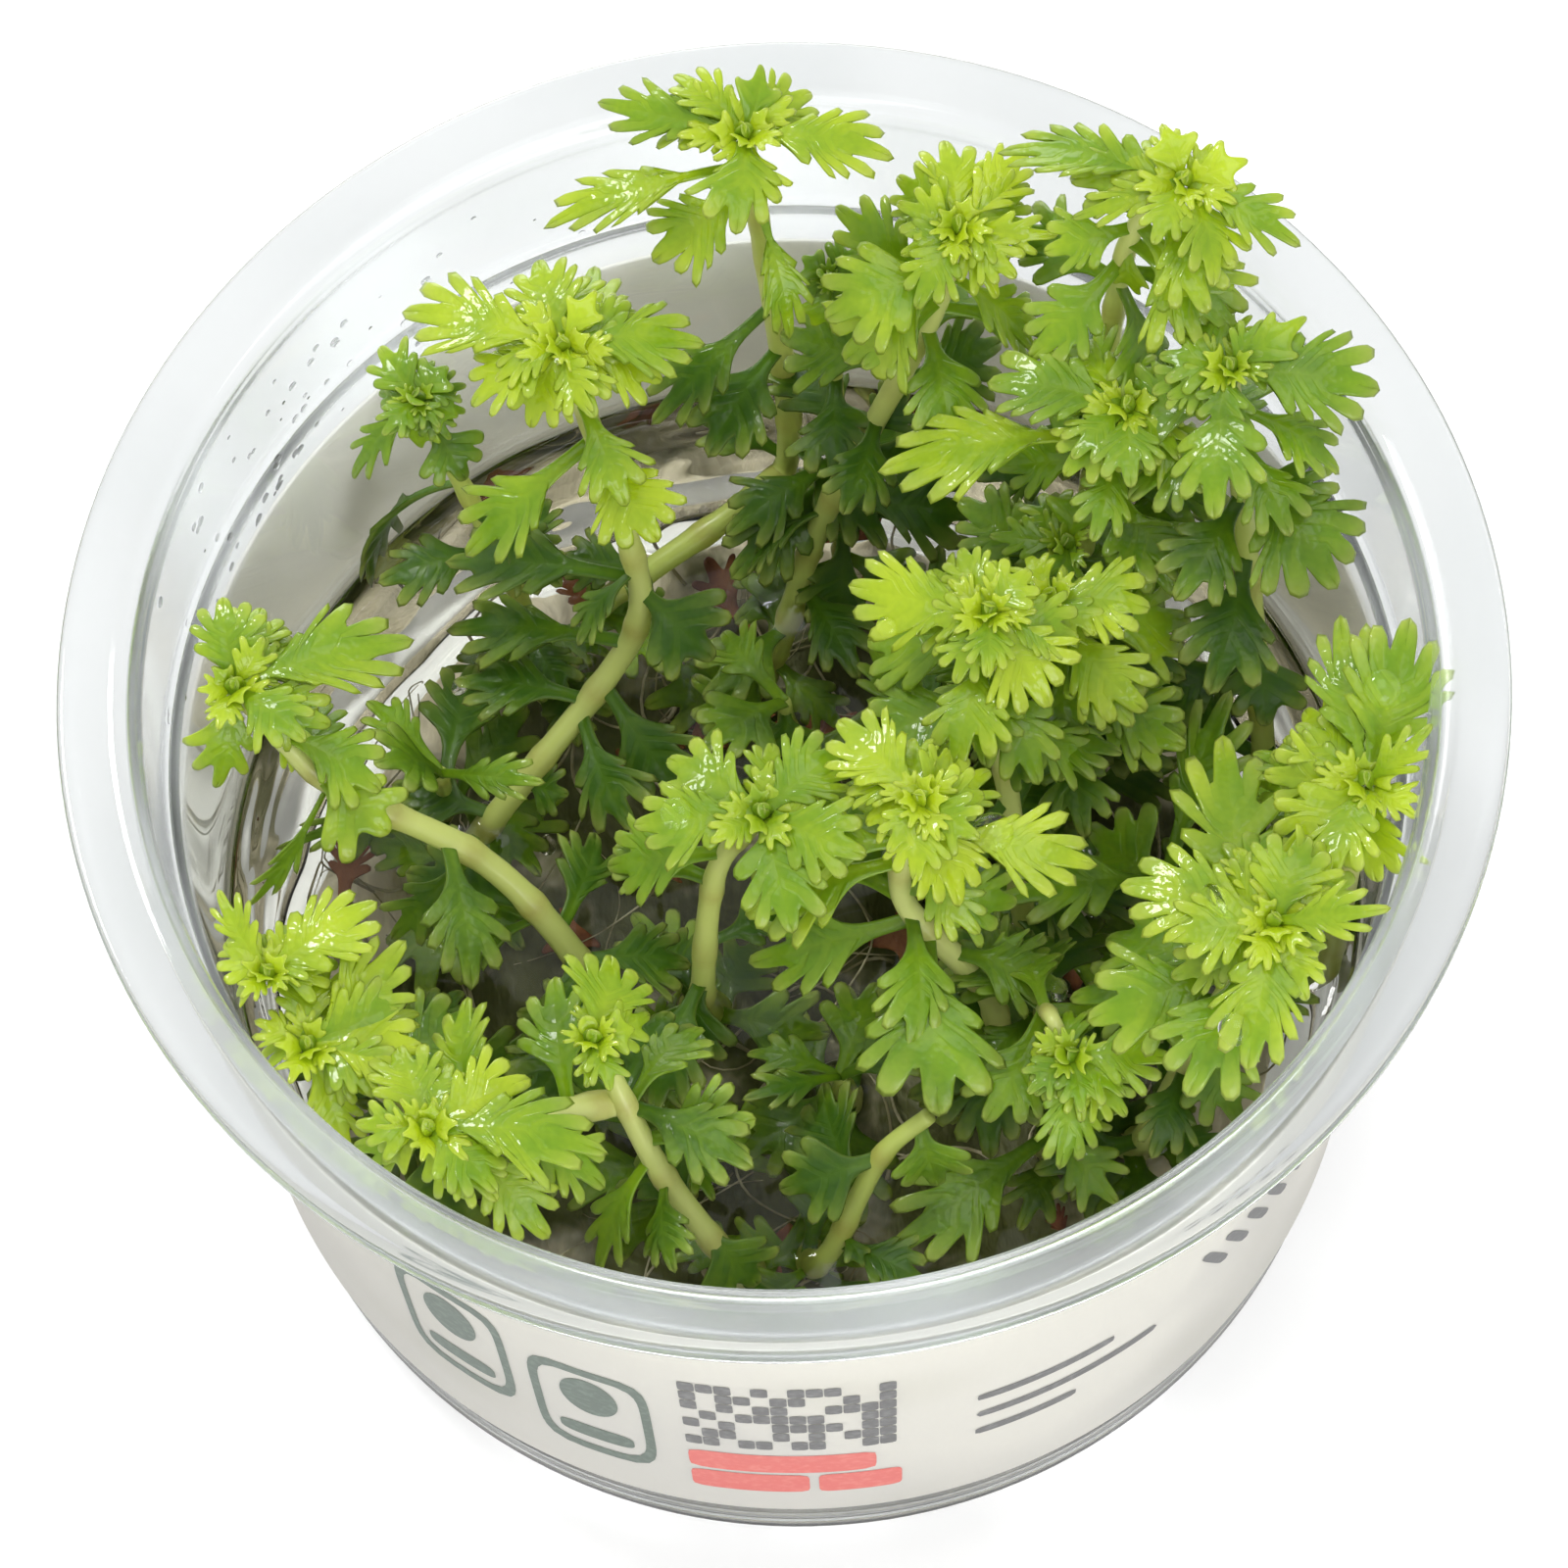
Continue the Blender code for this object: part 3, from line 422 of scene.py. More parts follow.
class NodeTree:
    """Short words for building the nodes of a material or a group."""

    def __init__(self, tree: bpy.types.NodeTree) -> None:
        """Hold the tree that the nodes go into."""
        self.tree = tree

    def feed(self, socket: bpy.types.NodeSocket, value: object) -> None:
        """Link a socket to another, or set its own value."""
        if isinstance(value, bpy.types.NodeSocket):
            self.tree.links.new(value, socket)
        else:
            socket.default_value = value

    def node(self, kind: str, values: dict | tuple = (), **settings: object) -> bpy.types.Node:
        """Add a node.

        Args:
            kind: its type, without the first word that shader nodes share.
            values: what its sockets get, by name or number, or in their order.
            settings: its properties.

        Returns:
            The node.
        """
        made = self.tree.nodes.new("ShaderNode" + kind)
        for name, value in settings.items():
            setattr(made, name, value)
        for key, value in (values if isinstance(values, dict) else dict(enumerate(values))).items():
            self.feed(made.inputs[key], value)
        return made

    def sum(self, kind: str, *values: object, hold: bool = False) -> bpy.types.NodeSocket:
        """Work out one step of arithmetic, held between 0 and 1 if asked."""
        return self.node("Math", values, operation=kind, use_clamp=hold).outputs[0]

    def line(self, value: object, slope: object, base: object) -> bpy.types.NodeSocket:
        """Multiply a value by a slope and add a base."""
        return self.sum("MULTIPLY_ADD", value, slope, base)

    def mix(self, share: object, first: object, second: object) -> bpy.types.NodeSocket:
        """Mix two colours by a share."""
        return self.node("Mix", {0: share, 6: first, 7: second}, data_type="RGBA").outputs[2]

    def ramp(self, share: object, low: float, high: float) -> bpy.types.NodeSocket:
        """Spread a stretch of values over 0 to 1, with soft ends."""
        return self.node("MapRange", (share, low, high, 0.0, 1.0),
                         interpolation_type="SMOOTHSTEP").outputs[0]

    def mark(self, name: str) -> bpy.types.NodeSocket:
        """Read one of the marks that the mesh carries."""
        return self.node("Attribute", attribute_name=name).outputs["Fac"]

    def place(self) -> bpy.types.NodeSocket:
        """Read the place of a point on its object, in metres."""
        return self.node("TexCoord").outputs["Object"]

    def noise(self, scale: object, detail: float = 0.0,
              stretch: tuple | None = None) -> bpy.types.NodeSocket:
        """Cloudy noise over the object.

        Args:
            scale: repeats in a metre.
            detail: finer octaves on top of the first.
            stretch: factors along X, Y and Z.

        Returns:
            The noise, about 0.5 in the mean.
        """
        source = self.place()
        if stretch is not None:
            source = self.node("Mapping", {"Vector": source, "Scale": stretch}).outputs[0]
        return self.node("TexNoise", {"Vector": source, "Scale": scale,
                                      "Detail": detail}).outputs["Fac"]

    def bump(self, height: object, strength: float, depth: float) -> bpy.types.NodeSocket:
        """Turn a height from 0 to 1 into a normal, by a share and a depth in metres."""
        return self.node("Bump", {"Height": height, "Strength": strength,
                                  "Distance": depth}).outputs["Normal"]


def mottle_group() -> bpy.types.NodeTree:
    """Shared patchy pattern of living tissue.

    Coarse cloudy noise times the spread, plus a fine grain, gives the mask;
    the height follows the grain alone.

    Returns:
        The group, with sockets Scale, Spread, Mask and Height.
    """
    group = bpy.data.node_groups.new("tissue_mottle", "ShaderNodeTree")
    for name, way in (("Scale", "INPUT"), ("Spread", "INPUT"), ("Mask", "OUTPUT"),
                      ("Height", "OUTPUT")):
        group.interface.new_socket(name, in_out=way, socket_type="NodeSocketFloat")
    tree = NodeTree(group)
    given = group.nodes.new("NodeGroupInput").outputs
    result = group.nodes.new("NodeGroupOutput").inputs
    coarse = tree.noise(given["Scale"])
    fine = tree.noise(tree.sum("MULTIPLY", given["Scale"], 7.0))
    grain = tree.line(fine, 0.25, 0.375)
    wide = tree.sum("SUBTRACT", coarse, 0.5)
    tree.feed(result["Mask"], tree.sum("MULTIPLY_ADD", wide, given["Spread"], grain, hold=True))
    tree.feed(result["Height"], fine)
    return group


class Finish:
    """A material in the making: its nodes, its main shader and its output."""

    mottling: bpy.types.NodeTree | None = None

    def __init__(self, name: str) -> None:
        """Start an empty material."""
        self.material = bpy.data.materials.new(name)
        self.material.use_nodes = True
        self.tree = NodeTree(self.material.node_tree)
        self.shader = self.material.node_tree.nodes["Principled BSDF"]
        self.output = self.material.node_tree.nodes["Material Output"]

    def put(self, **values: object) -> bpy.types.Material:
        """Set sockets of the main shader, named with underscores, and give the material."""
        for name, value in values.items():
            self.tree.feed(self.shader.inputs[name.replace("_", " ")], value)
        return self.material

    def mottle(self, scale: float, spread: float) -> list:
        """Place the shared mottling; its mask and its height come out."""
        Finish.mottling = Finish.mottling or mottle_group()
        node = self.tree.node("Group", node_tree=Finish.mottling)
        node.inputs[0].default_value, node.inputs[1].default_value = scale, spread
        return list(node.outputs)

    def glow(self, colour: object, share: object) -> None:
        """Let a share of the light from behind through, in a colour."""
        lit = self.tree.node("BsdfTranslucent", {"Color": colour})
        mixer = self.tree.node("MixShader", (share, self.shader.outputs[0], lit.outputs[0]))
        self.tree.feed(self.output.inputs["Surface"], mixer.outputs[0])


@dataclass(frozen=True)
class LeafFinish:
    """Wet, translucent leaf whose colour follows its age."""

    fresh: tuple = (0.50, 0.64, 0.012, 1.0)
    green: tuple = (0.19, 0.37, 0.008, 1.0)
    old: tuple = (0.045, 0.125, 0.005, 1.0)
    point: tuple = (0.62, 0.68, 0.16, 1.0)
    light: tuple = (0.76, 0.88, 0.03, 1.0)
    shade: tuple = (0.10, 0.26, 0.006, 1.0)
    see_through: float = 0.38

    def make(self) -> bpy.types.Material:
        """Make the material.

        The colour runs from fresh through green to old with age, lighter
        along the veins and pale at the lobe points.  Light from behind
        shows through in a brighter tint.

        Returns:
            The material.
        """
        finish = Finish("leaf_tissue")
        tree = finish.tree
        mask, grain = finish.mottle(330.0, 0.9)
        drift = tree.line(mask, 0.45, -0.225)
        age = tree.sum("ADD", tree.mark("age"), drift, hold=True)
        colour = tree.mix(tree.ramp(age, 0.0, 0.55), self.fresh, self.green)
        colour = tree.mix(tree.ramp(age, 0.45, 1.0), colour, self.old)
        vein = tree.mark("vein")
        colour = tree.mix(tree.sum("MULTIPLY", vein, 0.32), colour,
                          tree.mix(age, self.light, self.green))
        colour = tree.mix(tree.sum("MULTIPLY", tree.mark("tip"), 0.6), colour, self.point)
        height = tree.line(vein, -0.65, tree.sum("MULTIPLY", grain, 0.35))
        relief = tree.bump(height, 0.6, 0.00022)
        finish.glow(tree.mix(tree.ramp(age, 0.0, 1.0), self.light, self.shade), self.see_through)
        return finish.put(Base_Color=colour, Roughness=tree.line(mask, 0.22, 0.26), IOR=1.36,
                          Coat_Weight=tree.line(age, -0.75, 0.9), Coat_Roughness=0.06,
                          Normal=relief, Coat_Normal=relief)


@dataclass(frozen=True)
class StemFinish:
    """Smooth, juicy stem with faint lengthwise streaks."""

    pale: tuple = (0.80, 0.83, 0.32, 1.0)
    green: tuple = (0.46, 0.58, 0.09, 1.0)
    rust: tuple = (0.34, 0.25, 0.04, 1.0)

    def make(self) -> bpy.types.Material:
        """Make the material.

        Pale near the crown, greener with age, and browner at the joints,
        which the vein mark shows.

        Returns:
            The material.
        """
        finish = Finish("stem_tissue")
        tree = finish.tree
        mask, _ = finish.mottle(420.0, 0.8)
        streak = tree.noise(900.0, 1.0, (1.0, 1.0, 0.08))
        colour = tree.mix(tree.ramp(tree.mark("age"), 0.1, 1.0), self.pale, self.green)
        colour = tree.mix(tree.sum("MULTIPLY", streak, 0.35), colour, self.green)
        joint = tree.sum("MULTIPLY", tree.mark("vein"), tree.sum("MULTIPLY", mask, 0.8))
        finish.glow(self.pale, 0.3)
        return finish.put(Base_Color=tree.mix(joint, colour, self.rust),
                          Roughness=tree.line(streak, 0.2, 0.24), Coat_Weight=0.3,
                          Coat_Roughness=0.06, Normal=tree.bump(streak, 0.3, 0.00015))


@dataclass(frozen=True)
class ClearPlastic:
    """Clear plastic of the cup, with a slightly milky rim."""

    tint: tuple = (0.93, 0.955, 0.96, 1.0)
    haze: tuple = (0.88, 0.91, 0.92, 1.0)
    milk: float = 0.16
    step_low: float = 0.0445
    step_high: float = 0.0475

    def make(self) -> bpy.types.Material:
        """Make the material: a clear wall, and a rim with a veil of white haze."""
        finish = Finish("clear_plastic")
        tree = finish.tree
        waves = tree.noise(70.0, 0.0, (1.0, 1.0, 0.35))
        height = tree.node("SeparateXYZ", (tree.place(),)).outputs[2]
        rim = tree.ramp(height, self.step_low, self.step_high)
        rough = tree.sum("MULTIPLY", tree.line(waves, 0.08, 0.05), rim)
        share = tree.line(tree.ramp(waves, 0.2, 0.8), self.milk, 0.05)
        finish.glow(self.haze, tree.sum("MULTIPLY", share, rim))
        return finish.put(Base_Color=self.tint, Roughness=rough, Transmission_Weight=1.0,
                          IOR=1.49, Normal=tree.bump(waves, 0.12, 0.0006))


@dataclass(frozen=True)
class WaterFinish:
    """Clear water; a body of it has a brownish cast that deepens with the way of light."""

    name: str
    tint: tuple
    ripple: float
    strength: float
    depth: float
    density: float = 0.0
    cast: tuple = (0.84, 0.78, 0.52, 1.0)

    def make(self) -> bpy.types.Material:
        """Make the material: plain transmission, ripples and absorption."""
        finish = Finish(self.name)
        tree = finish.tree
        if self.density:
            soak = tree.node("VolumeAbsorption", {"Color": self.cast, "Density": self.density})
            tree.feed(finish.output.inputs["Volume"], soak.outputs[0])
        relief = tree.bump(tree.noise(self.ripple, 1.0), self.strength, self.depth)
        return finish.put(Base_Color=self.tint, Roughness=0.0, Transmission_Weight=1.0,
                          IOR=WATER_IOR, Normal=relief)


@dataclass(frozen=True)
class PaperFinish:
    """White coated label paper."""

    white: tuple = (0.90, 0.89, 0.86, 1.0)
    worn: tuple = (0.80, 0.79, 0.74, 1.0)
    warm: tuple = (0.92, 0.90, 0.80, 1.0)

    def make(self) -> bpy.types.Material:
        """Make the material: near white, with faint fibres and soft light through it."""
        finish = Finish("band_paper")
        tree = finish.tree
        fibre = tree.noise(2600.0, 0.0, (1.0, 1.0, 0.3))
        stain = tree.noise(45.0, 1.0)
        colour = tree.mix(tree.ramp(stain, 0.55, 0.85), self.white, self.worn)
        colour = tree.mix(tree.sum("MULTIPLY", fibre, 0.10), colour, self.worn)
        finish.glow(self.warm, 0.38)
        return finish.put(Base_Color=colour, Roughness=tree.line(fibre, 0.2, 0.38),
                          Normal=tree.bump(fibre, 0.12, 0.00008))


@dataclass(frozen=True)
class InkFinish:
    """Flat printing ink, a little uneven."""

    name: str
    ink: tuple
    thin: tuple

    def make(self) -> bpy.types.Material:
        """Make the material: the ink with thinner patches."""
        finish = Finish(self.name)
        tree = finish.tree
        patch = tree.noise(1800.0, 1.0)
        return finish.put(Base_Color=tree.mix(tree.ramp(patch, 0.35, 0.9), self.ink, self.thin),
                          Roughness=tree.line(patch, 0.2, 0.36))


@dataclass(frozen=True)
class RootFinish:
    """Wet dead tissue: roots, mat and fallen leaves."""

    name: str
    dark: tuple
    light: tuple
    scale: float
    relief: float

    def make(self) -> bpy.types.Material:
        """Make the material: two browns in fibrous patches with relief; the age mark moves it to the
        lighter brown, and on the mat that mark is painted light by the wall and painted shade in the
        middle.
        """
        finish = Finish(self.name)
        tree = finish.tree
        mask, _ = finish.mottle(self.scale, 1.6)
        fibre = tree.noise(self.scale * 6.0, 2.0, (1.0, 0.35, 1.0))
        share = tree.ramp(tree.sum("ADD", mask, tree.mark("age")), 0.35, 1.05)
        colour = tree.mix(share, self.dark, self.light)
        colour = tree.mix(tree.sum("MULTIPLY", fibre, 0.4), colour, self.dark)
        return finish.put(Base_Color=colour, Roughness=tree.line(fibre, 0.3, 0.45),
                          Normal=tree.bump(fibre, 0.7, self.relief))


@dataclass(frozen=True)
class FloorFinish:
    """Pale floor that stays near white to the camera."""

    pale: tuple = (0.60, 0.60, 0.60, 1.0)
    seen: float = 0.42
    through: float = 0.12

    def make(self) -> bpy.types.Material:
        """Make the material: a pale surface that also glows softly."""
        finish = Finish("pale_floor")
        tree = finish.tree
        ray = tree.node("LightPath").outputs
        shine = tree.line(ray["Is Camera Ray"], self.seen,
                          tree.sum("MULTIPLY", ray["Is Transmission Ray"], self.through))
        finish.material.cycles.emission_sampling = "NONE"
        return finish.put(Base_Color=self.pale, Roughness=0.7, Emission_Color=WHITE,
                          Emission_Strength=shine)


@dataclass
class Studio:
    """Pale floor, soft lights and the camera of the photograph."""

    lens: float = 191.25
    eye: tuple = (0.0, -0.24176985, 0.57891672)
    right: tuple = (0.99838013, -0.05160071, -0.02396854)
    up: tuple = (0.05689278, 0.90970743, 0.41133392)
    floor_reach: float = 6000.0
    floor_height: float = -0.02
    sky: float = 0.85

    def floor(self) -> bpy.types.Object:
        """Lay the floor, a plain square at the height of the cup's base."""
        corners = np.array([(-1.0, -1.0, 0.0), (-1.0, 1.0, 0.0), (1.0, 1.0, 0.0), (1.0, -1.0, 0.0)])
        skin = Skin()
        skin.add(np.stack([0.5 * corners, corners]) * self.floor_reach
                 + (0.0, 0.0, self.floor_height), ends=Edge.FIRST)
        return skin.build("floor", FloorFinish().make())

    def stand(self, name: str, data: bpy.types.ID, right: tuple, up: tuple,
              place: tuple) -> bpy.types.Object:
        """Stand a camera or a lamp somewhere.

        Args:
            name: its name.
            data: its settings.
            right: direction to its right.
            up: direction upwards on it.
            place: where it stands.

        Returns:
            The object.
        """
        obj = bpy.data.objects.new(name, data)
        pose = np.eye(4)
        pose[:3] = np.stack([right, up, np.cross(right, up), place], axis=1)
        obj.matrix_world = Matrix(pose.tolist())
        bpy.context.collection.objects.link(obj)
        return obj

    def camera(self) -> None:
        """Stand the camera where the photograph was taken from."""
        data = bpy.data.cameras.new("camera")
        data.lens, data.clip_start = self.lens, 0.01
        bpy.context.scene.camera = self.stand("camera", data, self.right, self.up, self.eye)

    def lamp(self, name: str, place: tuple, aim: float, size: float, power: float) -> None:
        """Hang one square soft light.

        Args:
            name: its name.
            place: where it hangs.
            aim: height on the axis that it points at.
            size: length of its sides.
            power: watts.
        """
        data = bpy.data.lights.new(name, "AREA")
        data.shape, data.size, data.energy = "SQUARE", size, power
        away = unit(np.array(place) - (0.0, 0.0, aim))
        side = unit(np.cross((0.0, 1.0, 0.02), away))
        self.stand(name, data, side, np.cross(away, side), place)

    def build(self) -> bpy.types.Object:
        """Set the camera and the lights up, and hand back the floor."""
        self.camera()
        world = bpy.data.worlds.new("studio")
        bpy.context.scene.world = world
        world.use_nodes = True
        sky = world.node_tree.nodes["Background"].inputs
        sky["Color"].default_value, sky["Strength"].default_value = WHITE, self.sky
        bpy.context.scene.cycles.use_light_tree = False
        self.lamp("key", (-0.36, 0.30, 0.76), 0.04, 0.16, 2.7)
        self.lamp("overhead", (0.15, -0.10, 0.90), 0.03, 0.50, 1.6)
        self.lamp("front", (0.25, -0.70, 0.30), 0.03, 0.40, 2.1)
        self.lamp("rear", (-0.10, 0.75, 0.22), 0.03, 0.45, 2.6)
        return self.floor()


@dataclass
class Cup:
    """Clear turned cup with a flat rim.

    The outline runs as (radius, height) corners from the middle below to
    the middle inside.
    """

    sides: int = 176
    outside: tuple = (
        (0.5, 0.5), (36.0, 0.5), (36.8, 0.4), (37.4, 0.0), (39.3, 0.0), (39.9, 0.25), (40.05, 0.9),
        (40.1, 2.0), (41.5, 22.0), (43.3, 48.4), (43.4, 49.3), (43.6, 49.7), (44.0, 49.9),
        (44.12, 50.3), (44.2, 51.2), (44.9, 59.4), (44.98, 60.3), (45.1, 60.9), (45.7, 61.25),
        (47.4, 61.3), (49.4, 61.3), (49.8, 61.35), (49.9, 61.6), (49.85, 61.85), (49.5, 62.0),
        (48.9, 61.97), (48.5, 61.88), (46.4, 61.86), (46.0, 61.95), (45.5, 61.95), (45.0, 61.75),
        (44.7, 61.6), (44.45, 61.2), (44.35, 60.7), (44.2, 60.2), (44.1, 59.2))
    inside: tuple = (
        (43.45, 51.0), (43.35, 50.3), (43.2, 49.9), (42.8, 49.75), (42.6, 49.4), (42.5, 48.4),
        (40.75, 22.0), (39.35, 3.0), (39.2, 2.0), (38.9, 1.3), (38.2, 1.0), (37.0, 1.0), (0.5, 1.0))

    def build(self, finish: bpy.types.Material) -> list:
        """Turn the outline, its corners cut twice, into the cup."""
        skin = Skin()
        skin.add(spun(rounded(np.array(self.outside + self.inside), 2), self.sides))
        return [place(clear(skin.build("cup_wall", finish)), "cup_plastic", "cup")]


@dataclass
class Label:
    """Paper band round the cup, with its plain print."""

    low: float = 7.2
    high: float = 44.8
    gap: float = 0.3
    thick: float = 0.25
    sides: int = 224
    raise_by: float = 0.03
    unroll_radius: float = 43.0
    filled: float = 0.56

    def patch(self, skin: Skin, middle: tuple, size: tuple, corner: float, slot: int,
              hole: float = 0.0, turn: float = 0.0) -> None:
        """Lay one round-cornered patch of print, or a frame of it.

        The outline is the square |x|^p + |y|^p = 1 stretched to the size,
        with a higher power p for sharper corners.  A place on the flat print
        is a length round the band, from the middle of the front and to the
        right, and a height; the angle is that length over the radius.

        Args:
            skin: mesh that it goes into.
            middle: length round the band and height of its middle.
            size: half width and half height.
            corner: how sharp the corners are.
            slot: number of the ink.
            hole: share that the hole of a frame takes, or 0.
            turn: degrees that it leans.
        """
        angle = np.linspace(0.0, math.tau, 97)
        turned = np.stack([np.cos(angle), np.sin(angle)], axis=1)
        outline = np.sign(turned) * np.abs(turned) ** (2.0 / corner) * size
        outline = evenly(outline, 41 if size[0] > 1.0 else 21)[:-1]
        share = np.linspace(hole or 0.3, 1.0, 3)[:, None]
        wide, tall = share * outline[:, 0], share * outline[:, 1]
        lean = math.radians(turn)
        around = middle[0] + wide * math.cos(lean) - tall * math.sin(lean)
        height = middle[1] + wide * math.sin(lean) + tall * math.cos(lean)
        radius = wall_radius(height) + self.gap + self.thick + self.raise_by
        spots = polar(radius, around / self.unroll_radius - math.pi / 2.0, height)
        skin.add(spots[:, ::-1], slot=slot, ends=Edge.OPEN if hole else Edge.FIRST)

    def print_marks(self, skin: Skin) -> None:
        """Lay the print: two plain signs, a block of cells, bars and lines."""
        rng = np.random.default_rng(SEED)
        signs, grey, coral = range(3)
        for around, height in ((-28.0, 28.5), (-17.2, 24.5)):
            self.patch(skin, (around, height), (4.6, 10.4), 5.0, signs, hole=0.84)
            self.patch(skin, (around, height + 3.6), (2.2, 4.2), 2.0, signs)
            self.patch(skin, (around, height - 5.4), (2.9, 1.5), 4.0, signs)
        for row in range(7):
            for column in range(12):
                if rng.random() < self.filled:
                    self.patch(skin, (-9.6 + 1.28 * column, 24.0 + 2.2 * row), (0.60, 1.04),
                               8.0, grey)
        for left, height, width in ((-10.2, 19.2, 6.9), (-10.2, 14.2, 4.4), (-0.7, 14.2, 3.1)):
            self.patch(skin, (left + width, height), (width, 2.2), 9.0, coral)
        for row, width in enumerate((5.4, 7.4, 4.0)):
            self.patch(skin, (11.0 + width, 29.0 - 4.2 * row), (width, 0.75), 8.0, grey)
        for step in range(5):
            self.patch(skin, (31.0 + 2.3 * step, 30.0), (0.5, 3.4), 4.0, grey, turn=24.0)

    def build(self, paper: bpy.types.Material, inks: list) -> list:
        """Make the band and its print.

        Args:
            paper: the paper.
            inks: sign green, grey and coral.

        Returns:
            The band and the print.
        """
        low, high = self.low, self.high
        heights = np.array([low, low + 0.1, *np.linspace(low + 4, high - 4, 5), high - 0.1, high])
        inner = np.stack([wall_radius(heights) + self.gap, heights], axis=1)
        band, ink = Skin(), Skin()
        band.add(spun(np.vstack([inner + (self.thick, 0.0), inner[::-1]]), self.sides),
                 ends=Edge.JOINED)
        self.print_marks(ink)
        return [place(band.build("label_band", paper), "label_paper", "label"),
                place(ink.build("label_print", *inks), "label_paper")]


@dataclass
class Water:
    """Body of water with a raised edge at the wall and round the stems."""

    rings: int = 72
    sides: int = 176
    climb: float = 1.3
    stem_climb: float = 0.55

    def surface(self, spots: np.ndarray, stems: np.ndarray) -> np.ndarray:
        """Height of the water's face.

        A few long sine waves of a tenth of a millimetre, plus a climb at the
        wall that falls off as exp(-distance / 0.9), plus the same, smaller,
        at each stem.

        Args:
            spots: places on it.
            stems: where the stems cross, as (x, y, radius) rows.

        Returns:
            Heights.
        """
        x, y = spots[..., 0], spots[..., 1]
        height = WATER_TOP + 0.07 * np.sin(0.31 * x + 0.9) * np.cos(0.27 * y)
        height = height + 0.04 * np.sin(0.73 * x - 0.41 * y)
        to_wall = wall_radius(WATER_TOP) - WALL - WATER_GAP - np.hypot(x, y)
        height = height + self.climb * np.exp(-to_wall / 0.9)
        for stem in stems:
            away = np.maximum(np.hypot(x - stem[0], y - stem[1]) - stem[2], 0.0)
            height = height + self.stem_climb * np.exp(-away / 0.7)
        return height

    def build(self, finish: bpy.types.Material, stems: np.ndarray) -> list:
        """Make the water from its underside out to the wall and in over its face.

        Args:
            finish: water.
            stems: where the stems cross its face.

        Returns:
            The one piece.
        """
        wall = wall_radius(WATER_TOP) - WALL - WATER_GAP
        inward = wall * (1.0 - np.linspace(0.0, 1.0, self.rings) ** 1.6) + 0.3
        inward[0] = wall
        face = polar(inward[:, None], circle(self.sides), 0.0)
        face[..., 2] = self.surface(face, stems)
        heights = np.array([1.4, 2.0, 6.0, 12.0, 18.0, 23.0, 25.6])
        sides = np.stack([wall_radius(heights) - WALL - WATER_GAP, heights], axis=1)
        sides[0, 0] = 38.6
        under = np.array([(0.3, 1.15), (20.0, 1.15), (38.0, 1.15)])
        skin = Skin()
        skin.add(np.concatenate([spun(np.vstack([under, sides]), self.sides), face]))
        return [place(clear(skin.build("water_body", finish)), "water_clear", "water")]


